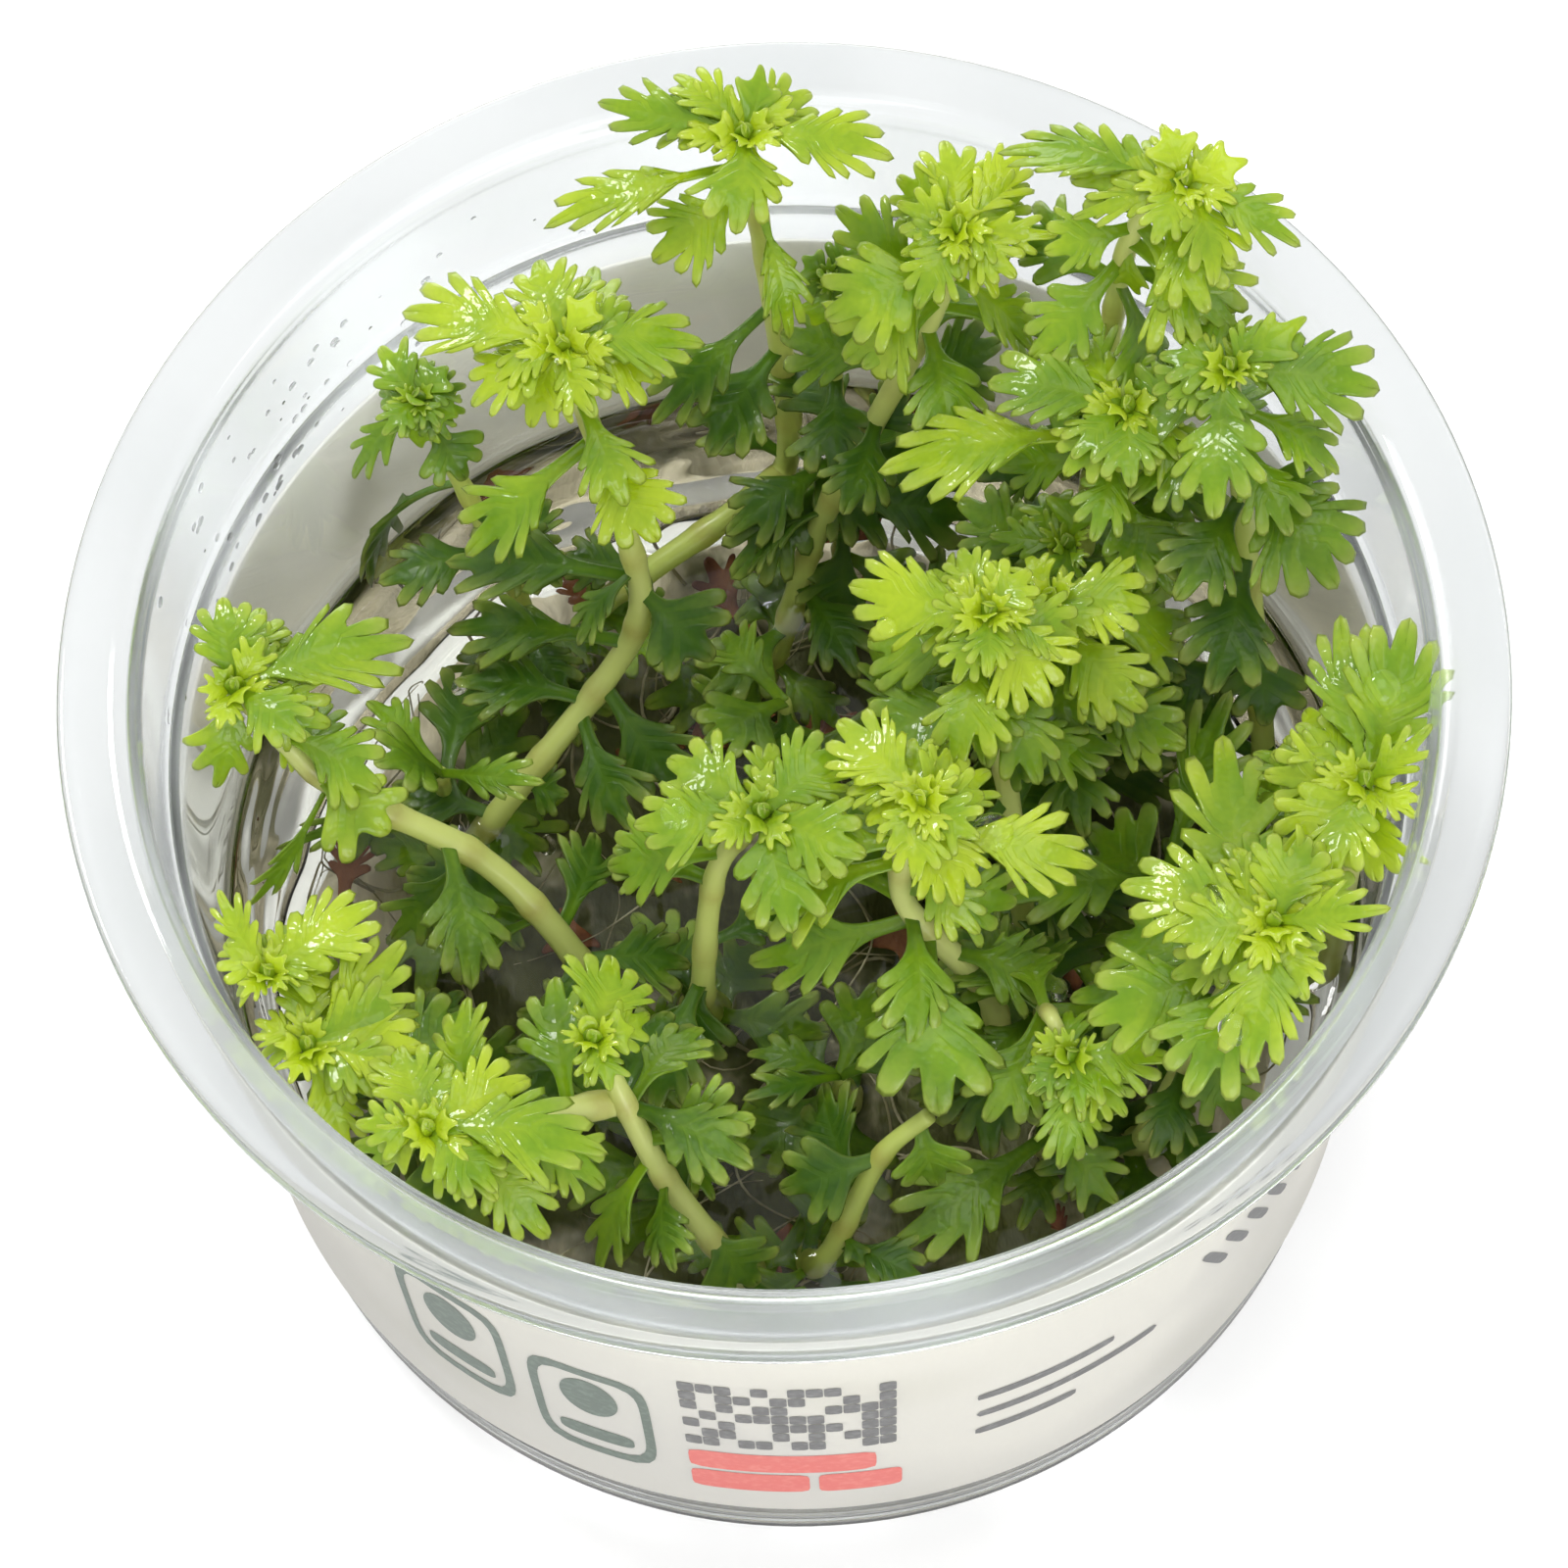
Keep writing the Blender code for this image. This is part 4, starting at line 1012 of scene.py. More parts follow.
@dataclass
class RootMat:
    """Matted roots on the cup's floor, with loose roots and fallen leaves."""

    sides: int = 160
    rings: int = 60
    roots: int = 110
    fallen: int = 24

    def mound(self) -> np.ndarray:
        """Work out the mat's face and rim.

        Heights are the mat's top less a drop towards the edge, plus crossing
        sine waves of different lengths.

        Returns:
            Rings from below, out and in over the face.
        """
        around = circle(self.sides)
        inward = (MAT_RADIUS * (1.0 - np.linspace(0.0, 1.0, self.rings) ** 1.3) + 0.2)[:, None]
        radius = inward + 0.5 * np.sin(9.0 * around) * (inward / MAT_RADIUS) ** 6 - 0.5
        face = polar(radius, around, 0.0)
        x, y = face[..., 0], face[..., 1]
        height = MAT_TOP - 1.4 - 2.2 * (np.abs(radius) / MAT_RADIUS) ** 8
        height = height + 0.7 * np.sin(0.34 * x + 1.0) * np.sin(0.29 * y + 0.4)
        height = height + 0.45 * np.sin(0.81 * x - 0.5 * y) + 0.25 * np.sin(1.9 * y + 1.3 * x)
        face[..., 2] = height + 0.14 * np.sin(4.1 * x + 2.0 * y) * np.cos(3.7 * y)
        under = spun(np.array([(0.2, 1.3), (20.0, 1.3), (35.0, 1.3), (35.6, 2.0)]), self.sides)
        return np.concatenate([under, face])

    def fibre(self, skin: Skin, rng: np.random.Generator) -> None:
        """Lay one loose root.

        It runs from a random place along a random turn, bent by two sine
        waves, and lies between the mat and a little above it.

        Args:
            skin: mesh that it goes into.
            rng: random numbers.
        """
        count = 18
        start = (rng.uniform(0.0, 33.0) * 33.0) ** 0.5
        turn, heading = rng.uniform(0.0, math.tau, 2)
        step = rng.uniform(8.0, 24.0) / count
        t = np.linspace(0.0, 1.0, count)
        bend = heading + 1.3 * np.sin(t * rng.uniform(2.0, 5.0) + turn) * rng.uniform(0.3, 1.2)
        path = polar(start, turn, 0.0) + np.cumsum(polar(step, bend, 0.0), axis=0)
        path *= np.minimum(1.0, 36.5 / np.maximum(np.linalg.norm(path, axis=1), 1e-6))[:, None]
        path[:, 2] = rng.uniform(6.2, 7.5)
        path[:, 2] += rng.uniform(0.5, 4.5) * np.sin(math.pi * t) ** 2
        thick = rng.uniform(0.09, 0.2) * (1.0 - 0.6 * t)
        marks = np.zeros((count, 5, 3))
        marks[..., 0] = rng.uniform(-0.2, 0.3)
        skin.add(tube_rings(path, thick, 5), marks, slot=1)

    def build(self, finishes: list) -> list:
        """Make the mat, the roots and the fallen leaves.

        Args:
            finishes: matted roots, loose roots and fallen leaves.

        Returns:
            The one piece.
        """
        rng = np.random.default_rng(SEED + 1)
        skin, mound = Skin(), self.mound()
        marks = np.zeros_like(mound)
        # painted light and shade: the age mark makes the mat pale towards the wall, where light comes
        # in through the wall and label, and keeps it dark in the middle, as painted shade under the
        # leaves
        near_wall = np.clip((np.hypot(mound[..., 0], mound[..., 1]) - 25.0) / 9.0, 0.0, 1.0)
        marks[..., 0] = 0.75 * near_wall ** 2 * (3.0 - 2.0 * near_wall) - 0.22
        skin.add(mound, marks)
        for _ in range(self.roots):
            self.fibre(skin, rng)
        for _ in range(self.fallen):
            turn, heading = rng.uniform(0.0, math.tau, 2)
            base = polar(35.0 * rng.uniform(0.1, 1.0) ** 0.5, turn, rng.uniform(7.4, 10.0))
            reach = rng.uniform(3.5, 8.0)
            tip = base + polar(reach, heading, rng.uniform(-0.5, 1.0))
            tip[:2] *= min(1.0, 37.5 / np.hypot(*tip[:2]))
            Leaf(base, tip, reach * rng.uniform(0.35, 0.7), int(rng.integers(1, 4)),
                 LeafKind.FALLEN, rng.uniform(0.0, 0.6)).grow(skin, 2, rng)
        return [place(skin.build("roots", *finishes), "root_fibre", "root_mat")]


@dataclass
class Leaf:
    """One lobed leaf between its base and its tip."""

    base: np.ndarray
    tip: np.ndarray
    width: float
    lobes: int
    kind: LeafKind
    age: float
    roll: tuple = (0.0, 0.0)

    def outline(self, length: float, rng: np.random.Generator) -> np.ndarray:
        """Work out one edge of the leaf, lying flat.

        Finger k of m has its point at 1 - 0.8 (1 - k / (m + 1)) ** 1.25 along
        the blade, and the blade is widest at two thirds.  Each finger points
        forward, more so towards the tip, and ends blunt; between two fingers
        a notch reaches back by about a third of the blade.  A leaf without
        lobes is shaped like a spoon.  Each point of the edge has its partner
        on an inner line that runs through the notches, so that a finger
        grows from its own stretch of that line.

        Args:
            length: from base to tip.
            rng: random numbers, for small differences.

        Returns:
            Rows of (along, across) on the edge and the same on the inner
            line, from the base to the tip.
        """
        if self.lobes == 0:
            spoon = np.array([(0.0, 0.12), (0.2, 0.26), (0.5, 0.5), (0.8, 0.47), (0.97, 0.2),
                              (1.0, 0.0)]) * (length, self.width)
            return evenly(rounded(np.hstack([spoon, spoon * (0.94, 0.55)]), 3), 14)
        stalk, many = self.kind.value, self.lobes > 1
        k = np.arange(1, self.lobes + 2)
        free = k <= self.lobes
        share = 1.0 - 0.8 * (1.0 - k / (self.lobes + 1)) ** 1.25
        reach = 0.5 * (1.0 - ((share - 0.66) / np.where(share < 0.66, 0.44, 0.34)) ** 2)
        reach[0] *= 1.12
        share[0] -= 0.03 * many
        share += rng.normal(0.0, 0.022, len(k)) * free
        reach *= 1.0 + rng.normal(0.0, 0.11, len(k))
        blade = length * (1.0 - stalk)
        tip = np.stack([length * stalk + blade * share, self.width * reach], axis=1)
        tip[-1] = (length, 0.0)
        turn = 0.86 * np.arctan2(tip[:, 1], tip[:, 0] - length * stalk - 0.27 * blade)
        turn += np.radians(rng.normal(0.0, 4.0, len(k))) * free
        ahead, across = polar(1.0, turn, 0.0)[:, :2], polar(1.0, turn + math.pi / 2, 0.0)[:, :2]
        step = np.diff(tip, axis=0)
        onward, back = (np.abs((step * side).sum(axis=1)) for side in (across[:-1], across[1:]))
        limit = 0.13 * self.width
        rear = np.minimum(0.46 * np.append(onward[:1], back), limit)
        fore = np.minimum(0.46 * np.append(onward, back[-1:]), limit)
        slim = min(0.09 * self.width, 0.55)
        notch = rng.uniform(*((0.24, 0.40) if many else (0.12, 0.2)), len(k) - 1) * blade
        meet = (tip[:-1] + tip[1:]) / 2 - notch[:, None] * unit(ahead[:-1] + ahead[1:])
        meet[:, 1] = np.maximum(meet[:, 1], slim + 0.05 * self.width)
        foot = (stalk * length + 0.03 * blade, slim)
        last = (0.45 * meet[-1, 0] + 0.55 * length, 0.0)
        inner = np.vstack([np.multiply(foot, (1.0, 0.6)), meet * (1.0, 0.86), last])
        deep = np.array([0.24, 0.10, 0.02, 0.0, 0.02, 0.10])[:, None] * blade
        wide = np.array([0.9, 0.78, 0.5, 0.0, -0.5, -0.78])[:, None]
        pace = np.array([0.16, 0.3, 0.44, 0.5, 0.56, 0.7])[:, None]
        corners = [np.array([[0.0, slim, 0.0, 0.6 * slim], [*foot, *inner[0]]])]
        for i in range(len(k) - 1):
            row = tip[i] - deep * ahead[i] + wide * np.where(wide > 0, rear[i], fore[i]) * across[i]
            row = np.hstack([row, inner[i] + pace * (inner[i + 1] - inner[i])])
            corners += [row[min(i, 1):], np.append(meet[i], inner[i + 1])[None]]
        row = tip[-1] - deep * ahead[-1] + wide * rear[-1] * across[-1]
        row = np.hstack([row, inner[-2] + 2.0 * pace * (inner[-1] - inner[-2])])
        edge = np.vstack([*corners, row[1:4]])
        edge[:, 1] = np.maximum(edge[:, 1], 0.0)
        young = self.kind is LeafKind.YOUNG
        return evenly(rounded(edge, 3), 24 if young else 42 if self.age < 0.75 else 32)

    def frame(self) -> tuple:
        """Directions along, across and out of the leaf, and its length."""
        reach = self.tip - self.base
        length = float(np.linalg.norm(reach))
        ahead = reach / length
        facing = np.array([self.roll[0], self.roll[1] - 0.22, 0.97])
        normal = unit(facing - ahead * facing.dot(ahead))
        return ahead, np.cross(normal, ahead), normal, length

    def flat(self, edges: list, inside: np.ndarray, outside: np.ndarray) -> np.ndarray:
        """Lay the rows between the two edges of the blade, one set for each half.

        Args:
            edges: the two edges with their inner lines.
            inside: shares of the way from the midrib to the inner line.
            outside: shares of the way from there to the edge.

        Returns:
            Places as (along, across), row by row from one edge to the other.
        """
        halves = []
        for edge, hand in zip(edges, (1.0, -1.0)):
            rim, core = edge[:, None, :2], edge[:, None, 2:]
            foot = np.zeros_like(core)
            foot[:, 0, 0] = np.maximum.accumulate(
                np.clip(core[:, 0, 0] - 0.8 * core[:, 0, 1], 0.0, None))
            half = np.concatenate([foot + (core - foot) * inside[:, None],
                                   core + (rim - core) * outside[:, None]], axis=1)
            halves.append(half * (1.0, hand))
        flat = np.concatenate([halves[1][:, ::-1], halves[0][:, 1:]], axis=1)
        flat[:, halves[0].shape[1] - 1, 0] = 0.5 * (halves[0][:, 0, 0] + halves[1][:, 0, 0])
        return flat

    def grow(self, skin: Skin, slot: int, rng: np.random.Generator) -> None:
        """Add the leaf to a mesh.

        Rows run from the midrib to the inner line, on to the edge and back
        underneath.  Over the chord the blade rises by 0.09 L 4x (1 - x), is
        cupped by the square of the way across, and leans and waves a little.
        Its half thickness follows a quarter circle within half a millimetre
        of the edge, and is even inside that.

        Args:
            skin: mesh that it goes into.
            slot: number of its material.
            rng: random numbers.
        """
        ahead, side, normal, length = self.frame()
        edges = [self.outline(length, rng) for _ in range(2)]
        big = self.kind is not LeafKind.YOUNG
        inside = np.array([0.0, 0.5, 1.0] if big else [0.0, 1.0])
        outside = np.array([0.55, 0.9, 1.0] if big else [0.8, 1.0])
        flat = self.flat(edges, inside, outside)
        rows = np.append(0.55 * inside, 0.55 + 0.45 * outside)
        middle = len(rows) - 1
        v = np.append(-rows[::-1], rows[1:])
        share, across = flat[..., 0] / length, 2.0 * flat[..., 1] / self.width
        wave = rng.uniform(0.012, 0.03) * length
        lift = (length * 0.09 * 4.0 * share * (1.0 - share) + self.width * 0.05 * across ** 2
                + wave * np.sin(share * rng.uniform(5.0, 9.0) + rng.uniform(0, 6)) * across ** 2
                + rng.uniform(-0.12, 0.12) * flat[..., 1] * share
                - rng.uniform(0.0, 0.09) * length * share ** 4
                - rng.uniform(-0.02, 0.12) * self.width * np.abs(across) ** 3)
        rim = np.vstack([edges[0][:, :2], edges[1][:, :2] * (1.0, -1.0)])
        away = np.linalg.norm(flat[:, :, None] - rim[None, None], axis=-1).min(axis=-1)
        fat = np.clip(0.10 + length / 90.0, 0.1, 0.22) * np.sqrt(
            1.0 - (1.0 - np.clip(away / 0.45, 0.0, 1.0)) ** 2)
        rib = np.exp(-(flat[..., 1] / 0.4) ** 2) * np.clip(1.1 - share, 0.0, 1.0)
        top, under = (
            self.base + flat[..., :1] * ahead + flat[..., 1:] * side + height[..., None] * normal
            for height in (lift + fat - 0.04 * rib, lift - fat - 0.12 * rib))
        back = [2 * middle - 2, middle, 2] if big else [middle + 1, middle, middle - 1]
        crest = self.crest(flat.shape[1] // 2, np.stack([edge[:, :2] for edge in edges]))
        tips = np.abs(v) ** 6 * np.clip((share - 0.35) * 2.2, 0, 1)
        vein = np.exp(-(flat[..., 1] / (0.035 * self.width + 0.12)) ** 2) * (1.0 - 0.7 * share)
        vein = np.maximum(vein, 0.6 * crest ** 2 * (1.0 - v ** 4) * np.clip(3 * np.abs(v), 0, 1))
        aged = self.age + 0.10 * (1.0 - share) - 0.10 * np.abs(across)
        marks = np.stack([aged, vein, np.maximum(tips * crest, 0.35 * np.abs(v) ** 8)], axis=-1)
        skin.add(np.concatenate([top, under[:, back]], axis=1)[:, ::-1],
                 np.concatenate([marks, marks[:, back]], axis=1)[:, ::-1], slot)

    def crest(self, half: int, edges: np.ndarray) -> np.ndarray:
        """How near each place is to the point of a finger.

        The way from the foot of the blade to the edge is longest at a finger
        point, so a place counts where its edge lies further out than the
        mean of the edge beside it.

        Args:
            half: rows on either side of the midrib.
            edges: the two edges.

        Returns:
            A mark from 0 to 1 for each place.
        """
        reach = np.linalg.norm(edges, axis=-1)
        kernel = np.ones(9) / 9.0
        mean = np.stack([np.convolve(np.pad(r, 4, mode="edge"), kernel, "valid") for r in reach])
        peak = np.clip((reach - mean) / (0.03 * reach.max() + 1e-9), 0.0, 1.0)
        return np.repeat(peak[::-1], (half + 1, half), axis=0).T


@dataclass(frozen=True)
class Whorl:
    """How leaves that the plan doesn't list follow one another on a stem.

    The turn from one to the next is the golden angle with some sway, and the
    height where it leaves the stem may shift.  Reach, rise and the width's
    share of the reach are drawn between two values.  The tip stays between
    two heights and keeps a margin to the wall.
    """

    sway: float
    reach: tuple
    rise: tuple
    low: float
    high: float
    margin: float
    share: tuple
    lobes: int
    tilt: float
    shift: float = 0.0


# just under the crown, from there down to the water, and under the water
SKIRT = Whorl(15.0, (6.5, 10.5), (-4.5, -0.5), 0.0, 90.0, 1.6, (0.6, 0.8), 3, 0.3)
FILLER = Whorl(20.0, (6.5, 11.0), (-3.0, 0.8), 25.2, 90.0, 2.0, (0.6, 0.8), 3, 0.35, 1.0)
SUNKEN = Whorl(20.0, (6.5, 10.5), (-1.5, 1.0), 9.0, 23.5, 3.5, (0.6, 0.75), 2, 0.3)


@dataclass
class Shoot:
    """One shoot: its stem with the leaves beside it, and its crown."""

    name: str
    plan: Plan
    seed: int
    sides: int = 14

    def __post_init__(self) -> None:
        """Draw the stem's smooth line."""
        points = np.array(self.plan.stem, float)
        self.crown = points[-1].copy()
        self.full = self.crown[0] > 3.0
        if self.plan.fan:
            points[-1] += unit(points[-2] - points[-1]) * 1.2
        self.path = smooth_path(points, 14 * (len(points) - 1) + 1)
        self.rng = np.random.default_rng(self.seed)

    def at_height(self, height: float) -> np.ndarray:
        """Point of the stem nearest a height."""
        return self.path[int(np.argmin(np.abs(self.path[:, 2] - height)))]

    def crossing(self) -> np.ndarray:
        """Where the stem goes through the water's face, with its radius."""
        return np.append(self.at_height(WATER_TOP)[:2], 0.5 * self.plan.thick)

    def depth_age(self, height: float) -> float:
        """Age of a leaf from how far below the crown it grows."""
        return float(np.clip(self.plan.age + (self.crown[2] - height) / 30.0, 0.0, 0.95))

    def arm(self, turn: float, reach: float, rise: float) -> np.ndarray:
        """Step in a direction given in degrees, and up."""
        return polar(reach, math.radians(turn), rise)

    def lean(self, much: float) -> tuple:
        """Random tilt of a leaf's face, to the right and away."""
        return tuple(self.rng.normal(0.0, much, 2))

    def side_leaves(self) -> list:
        """Leaves of the plan beside the stem."""
        made = []
        for height, turn, reach, rise, width, lobes in self.plan.side:
            base = self.at_height(min(height, self.crown[2] - 0.6))
            age = self.depth_age(height) + self.rng.normal(0.0, 0.08)
            made.append(Leaf(base, base + self.arm(turn, reach, rise), 1.1 * width,
                             lobes + (reach > 7.5), LeafKind.SIDE, age, self.lean(0.25)))
        return made

    def fan_leaves(self) -> list:
        """Leaves of the plan round the crown."""
        made = []
        for turn, reach, rise, width, lobes in self.plan.fan:
            step = self.arm(turn, reach, rise)
            age = self.plan.age + 0.016 * reach - 0.04 + self.rng.normal(0.0, 0.08)
            made.append(Leaf(self.crown + unit(step) * 0.4, self.crown + step, 1.1 * width,
                             lobes + (reach > 6.0), LeafKind.FAN, age, self.lean(0.25)))
        return made

    def whorl(self, rule: Whorl, heights: np.ndarray, age: Callable[[float], float]) -> list:
        """Leaves up the stem by a rule, kept off the wall and out of the clear ways.

        Args:
            rule: how they follow one another.
            heights: where they leave the stem.
            age: age of a leaf from its height.

        Returns:
            The leaves.
        """
        rng, made = self.rng, []
        turn = rng.uniform(0.0, 360.0)
        for height in heights:
            turn += GOLDEN_TURN + rng.uniform(-rule.sway, rule.sway)
            shift = rng.uniform(-rule.shift, rule.shift) if rule.shift else 0.0
            base = self.at_height(height + shift)
            reach = rng.uniform(*rule.reach)
            tip = base + self.arm(turn, reach, rng.uniform(*rule.rise))
            tip[2] = np.clip(tip[2], rule.low, rule.high)
            if not (np.hypot(*tip[:2]) > wall_radius(tip[2]) - rule.margin or in_way(tip)
                    or in_way((tip + base) / 2)):
                made.append(Leaf(base, tip, reach * rng.uniform(*rule.share), rule.lobes,
                                 LeafKind.SIDE, age(height), self.lean(rule.tilt)))
        return made

    def stem_leaves(self) -> list:
        """Leaves of the stem: planned ones, fillers, those under the water, the skirt."""
        top = self.crown[2]
        side = self.side_leaves() + self.whorl(
            FILLER, np.arange(26.5, min(top - 5.0, 54.0 if self.full else 44.0),
                              3.7 if self.full else 5.6),
            lambda height: min(0.95, self.depth_age(height) + 0.1))
        side += self.whorl(SUNKEN, np.arange(max(11.5, self.path[0, 2] + 2.0), 24.0, 3.6),
                           lambda height: self.rng.uniform(0.62, 0.9))
        if self.plan.fan and not self.plan.bare:
            drops = np.linspace(2.0, 11.0, 9) if self.full else np.linspace(2.5, 5.0, 2)
            side += self.whorl(SKIRT, top - drops,
                               lambda height: self.plan.age + 0.08 + 0.035 * (top - height))
        return side

    def young_leaves(self) -> list:
        """Small leaves packed round the bud, and some between the larger ones.

        They turn by the golden angle from one to the next; the innermost lean
        over the middle, the next stand steep and short, and the outer ones
        lie flatter and reach further.

        Returns:
            The leaves.
        """
        rng, made = self.rng, []
        spread = float(np.mean([leaf[1] for leaf in self.plan.fan]))
        turn = rng.uniform(0.0, 360.0)
        for share in np.linspace(0.08, 1.0, 11 if spread > 5 else 8):
            reach = 0.5 + 0.52 * spread * share ** 1.2
            rise = 1.9 - 1.5 * share + rng.uniform(-0.2, 0.3)
            turn += GOLDEN_TURN + rng.uniform(-10.0, 10.0)
            tip = self.arm(turn, reach, rise)
            foot, width = 0.12 * tip - (0.0, 0.0, 0.5), (0.85 - 0.1 * share) * np.linalg.norm(tip)
            if share < 0.3:
                foot, tip = self.arm(turn, 0.55, -0.5), self.arm(turn, -0.15, 1.0 + share)
                width = 1.1
            lobes = 0 if share < 0.35 else 1 + (share > 0.6) + (share > 0.9)
            age = self.plan.age + 0.42 - 0.62 * min(2.2 * share, 1.0) + 0.14 * share
            made.append(Leaf(self.crown + foot, self.crown + tip, width, lobes,
                             LeafKind.YOUNG, age, self.lean(0.15)))
        turns = np.sort(np.array([leaf[0] % 360 for leaf in self.plan.fan], float))
        gaps = np.diff(np.append(turns, turns[0] + 360.0))
        for i in np.repeat(np.argsort(-gaps)[:5], 2):
            reach = rng.uniform(0.7, 1.05) * min(spread, 8.0)
            step = self.arm(turns[i] + gaps[i] * rng.uniform(0.25, 0.75), reach,
                            rng.uniform(-2.6, 0.6))
            if np.hypot(*(self.crown + step)[:2]) <= wall_radius(self.crown[2]) - 2.5:
                made.append(Leaf(self.crown + 0.1 * step, self.crown + step, 0.8 * reach,
                                 3 if reach > 5.0 else 2, LeafKind.FAN,
                                 self.plan.age + rng.uniform(0.02, 0.22), self.lean(0.25)))
        return made

    def stem(self, skin: Skin) -> None:
        """Add the stem: a circle along its line, thicker at each joint."""
        length = along(self.path)
        joints = np.arange(self.rng.uniform(2.0, 6.0), length[-1], 6.8)
        near = np.min(np.abs(length[:, None] - joints), axis=1) if len(joints) else length
        knot = np.exp(-(near / 0.9) ** 2)
        share = length / length[-1]
        radius = 0.42 * self.plan.thick * (1.0 - 0.28 * share ** 3) * (0.96 + 0.16 * knot)
        age = np.clip(self.plan.age + (self.crown[2] - self.path[:, 2]) / 80.0, 0.0, 0.7)
        marks = np.stack([age, knot, 0.0 * age], axis=1)[:, None].repeat(self.sides, axis=1)
        skin.add(tube_rings(self.path, radius, self.sides), marks, 1)

    def build(self, leaf: bpy.types.Material, stem: bpy.types.Material) -> list:
        """Make the stem's piece and the crown's.

        Args:
            leaf: leaf tissue.
            stem: stem tissue.

        Returns:
            One piece, or two.
        """
        side, skin = self.stem_leaves(), Skin()
        self.stem(skin)
        for one in side:
            one.grow(skin, 0, self.rng)
        pieces = [place(skin.build(self.name + "_green", leaf, stem), "stem_green",
                        self.name + "_stem")]
        if self.plan.fan:
            crown = Skin()
            for one in self.fan_leaves() + self.young_leaves():
                one.grow(crown, 0, self.rng)
            fresh = "leaf_fresh" if self.crown[2] >= 50.0 else "leaf_green"
            pieces.append(place(crown.build(self.name + "_tuft", leaf, stem), fresh,
                                self.name + "_crown"))
        return pieces


@dataclass
class Drops:
    """Drops of water on leaves, as (x, y, radius) in the picture, and on the wall."""

    spots: tuple = ((1013, 850, 1.5), (1240, 919, 1.3), (1141, 630, 1.1), (1411, 702, 1.4),
                    (1260, 1050, 1.2), (690, 830, 1.2), (1120, 560, 0.8), (905, 640, 0.8),
                    (560, 880, 0.9), (742, 1010, 0.9), (470, 700, 0.8), (1080, 1010, 0.9))
    picture: int = 1600
    sensor: float = 36.0
    on_wall: int = 60

    def lens(self, skin: Skin, middle: np.ndarray, normal: np.ndarray, size: float) -> None:
        """Add one drop: a flattened half ball whose height is half its radius.

        Args:
            skin: mesh that it goes into.
            middle: where it sits.
            normal: way up from there.
            size: its radius.
        """
        side = unit(np.cross(normal, (0.2, 0.9, 0.1)))
        lat = np.array([-0.5, -0.12, 0.25, 0.65, 1.05, 1.4])[:, None]
        ball = polar(np.cos(lat), circle(14), np.sin(lat) * np.where(lat > 0, 0.55, 0.2))
        skin.add(middle + size * ball @ np.stack([side, np.cross(normal, side), normal]))

    def build(self, finish: bpy.types.Material, studio: Studio, pieces: list) -> list:
        """Set drops where the sight line of each spot first meets a leaf.

        The sight line runs from the eye through the spot on the picture, a
        step of (x - w / 2) to the right and (h / 2 - y) up for each lens
        length ahead.

        Args:
            finish: clear water.
            studio: the camera's place and directions.
            pieces: leaf pieces that the drops may sit on.

        Returns:
            The one piece.
        """
        skin = Skin()
        ahead = -np.cross(studio.right, studio.up) * studio.lens
        scale = self.sensor / self.picture
        for x, y, size in self.spots:
            ray = unit(np.array(studio.right) * (x - self.picture / 2) * scale
                       + np.array(studio.up) * (self.picture / 2 - y) * scale + ahead)
            hits = [piece.ray_cast(studio.eye, ray.tolist()) for piece in pieces]
            met = [(where.dot(ray), where, normal) for hit, where, normal, _ in hits if hit]
            if met:
                _, where, normal = min(met, key=lambda one: one[0])
                self.lens(skin, np.array(where) / MM, np.array(normal), size)
        rng = np.random.default_rng(SEED + 3)
        for _ in range(self.on_wall):
            angle = math.radians(rng.normal(143.0, 17.0))
            height = rng.uniform(47.0, 58.5)
            self.lens(skin, polar(wall_radius(height) - WALL, angle, height),
                      polar(-1.0, angle, 0.08), rng.uniform(0.12, 0.45))
        return [place(clear(skin.build("drops", finish)), "water_clear")]


def clear(piece: bpy.types.Object) -> bpy.types.Object:
    """Let a clear piece cast no shadow, so that light reaches what lies inside."""
    piece.visible_shadow = False
    return piece


def place(piece: bpy.types.Object, slot: str, *nodes: str) -> bpy.types.Object:
    """Tie a piece to the body, and hide the solids that it stands for.

    Args:
        piece: the piece.
        slot: name of a material slot; not used.
        nodes: names of the solids.

    Returns:
        The same piece.
    """
    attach(piece, "root")
    if nodes:
        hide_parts(*nodes)
    return piece


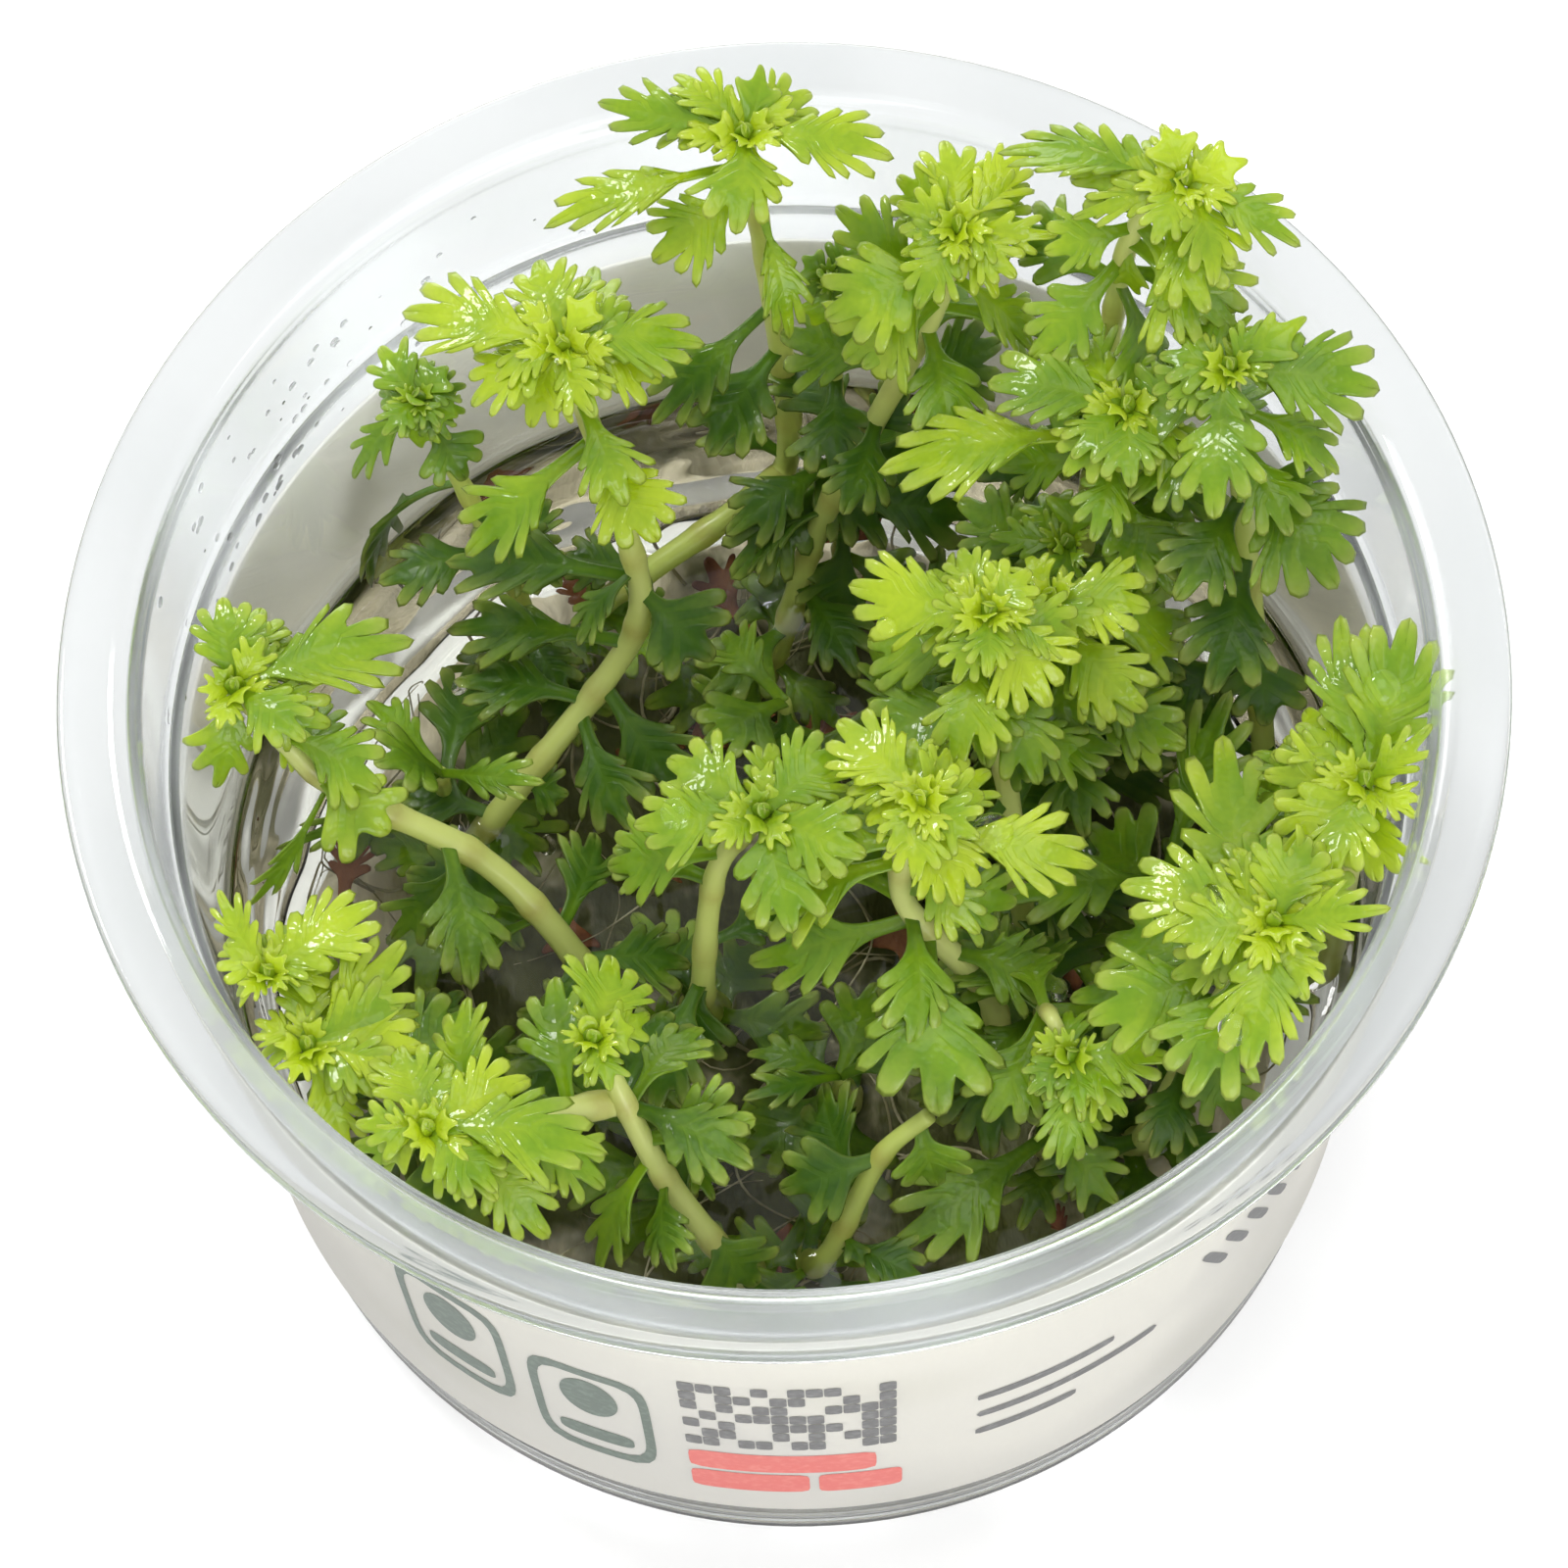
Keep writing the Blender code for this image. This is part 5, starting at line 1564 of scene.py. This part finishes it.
def report(name: str, pieces: list) -> list:
    """Write what was built to the log, and hand the pieces on."""
    count = sum(len(piece.data.loops) - 2 * len(piece.data.polygons) for piece in pieces)
    LOG.info("%s: %d pieces, %d triangles", name, len(pieces), count)
    return pieces


def main() -> None:
    """Build the violet, its cup and the studio round them."""
    logging.basicConfig(level=logging.INFO, format="%(name)s %(message)s")
    studio = Studio()
    studio.build()
    bpy.context.scene.view_settings.view_transform = "Standard"
    report("cup", Cup().build(ClearPlastic().make()))
    inks = [InkFinish("ink_sign", (0.13, 0.17, 0.14, 1.0), (0.24, 0.29, 0.25, 1.0)),
            InkFinish("ink_grey", (0.15, 0.15, 0.15, 1.0), (0.28, 0.28, 0.28, 1.0)),
            InkFinish("ink_coral", (0.78, 0.17, 0.15, 1.0), (0.85, 0.28, 0.24, 1.0))]
    report("label", Label().build(PaperFinish().make(), [ink.make() for ink in inks]))
    shoots = [Shoot("shoot_" + key, plan, SEED + 20 + i)
              for i, (key, plan) in enumerate(SHOOTS.items())]
    crossings = np.array([s.crossing() for s in shoots if s.path[0, 2] < WATER_TOP])
    water = WaterFinish("clear_water", (0.985, 0.985, 0.97, 1.0), 95.0, 0.7, 0.0016, 12.0)
    report("water", Water().build(water.make(), crossings))
    # the mat's near-black brown is also its painted shade in the middle, under the leaves
    roots = [RootFinish("root_mat_tissue", (0.085, 0.095, 0.022, 1.0), (0.86, 0.79, 0.60, 1.0),
                        160.0, 0.0006),
             RootFinish("root_thread", (0.30, 0.27, 0.15, 1.0), (0.74, 0.70, 0.50, 1.0),
                        400.0, 0.0001),
             RootFinish("fallen_leaf", (0.13, 0.035, 0.015, 1.0), (0.38, 0.14, 0.05, 1.0),
                        350.0, 0.0002)]
    report("roots", RootMat().build([finish.make() for finish in roots]))
    leaf, stem = LeafFinish().make(), StemFinish().make()
    green = []
    for shoot in shoots:
        green += report(shoot.name, shoot.build(leaf, stem))
    bpy.context.view_layer.update()
    drop = WaterFinish("water_drop", WHITE, 600.0, 0.15, 0.0002)
    report("drops", Drops().build(drop.make(), studio, green))
    bpy.context.view_layer.update()


if __name__ == "__main__":
    main()
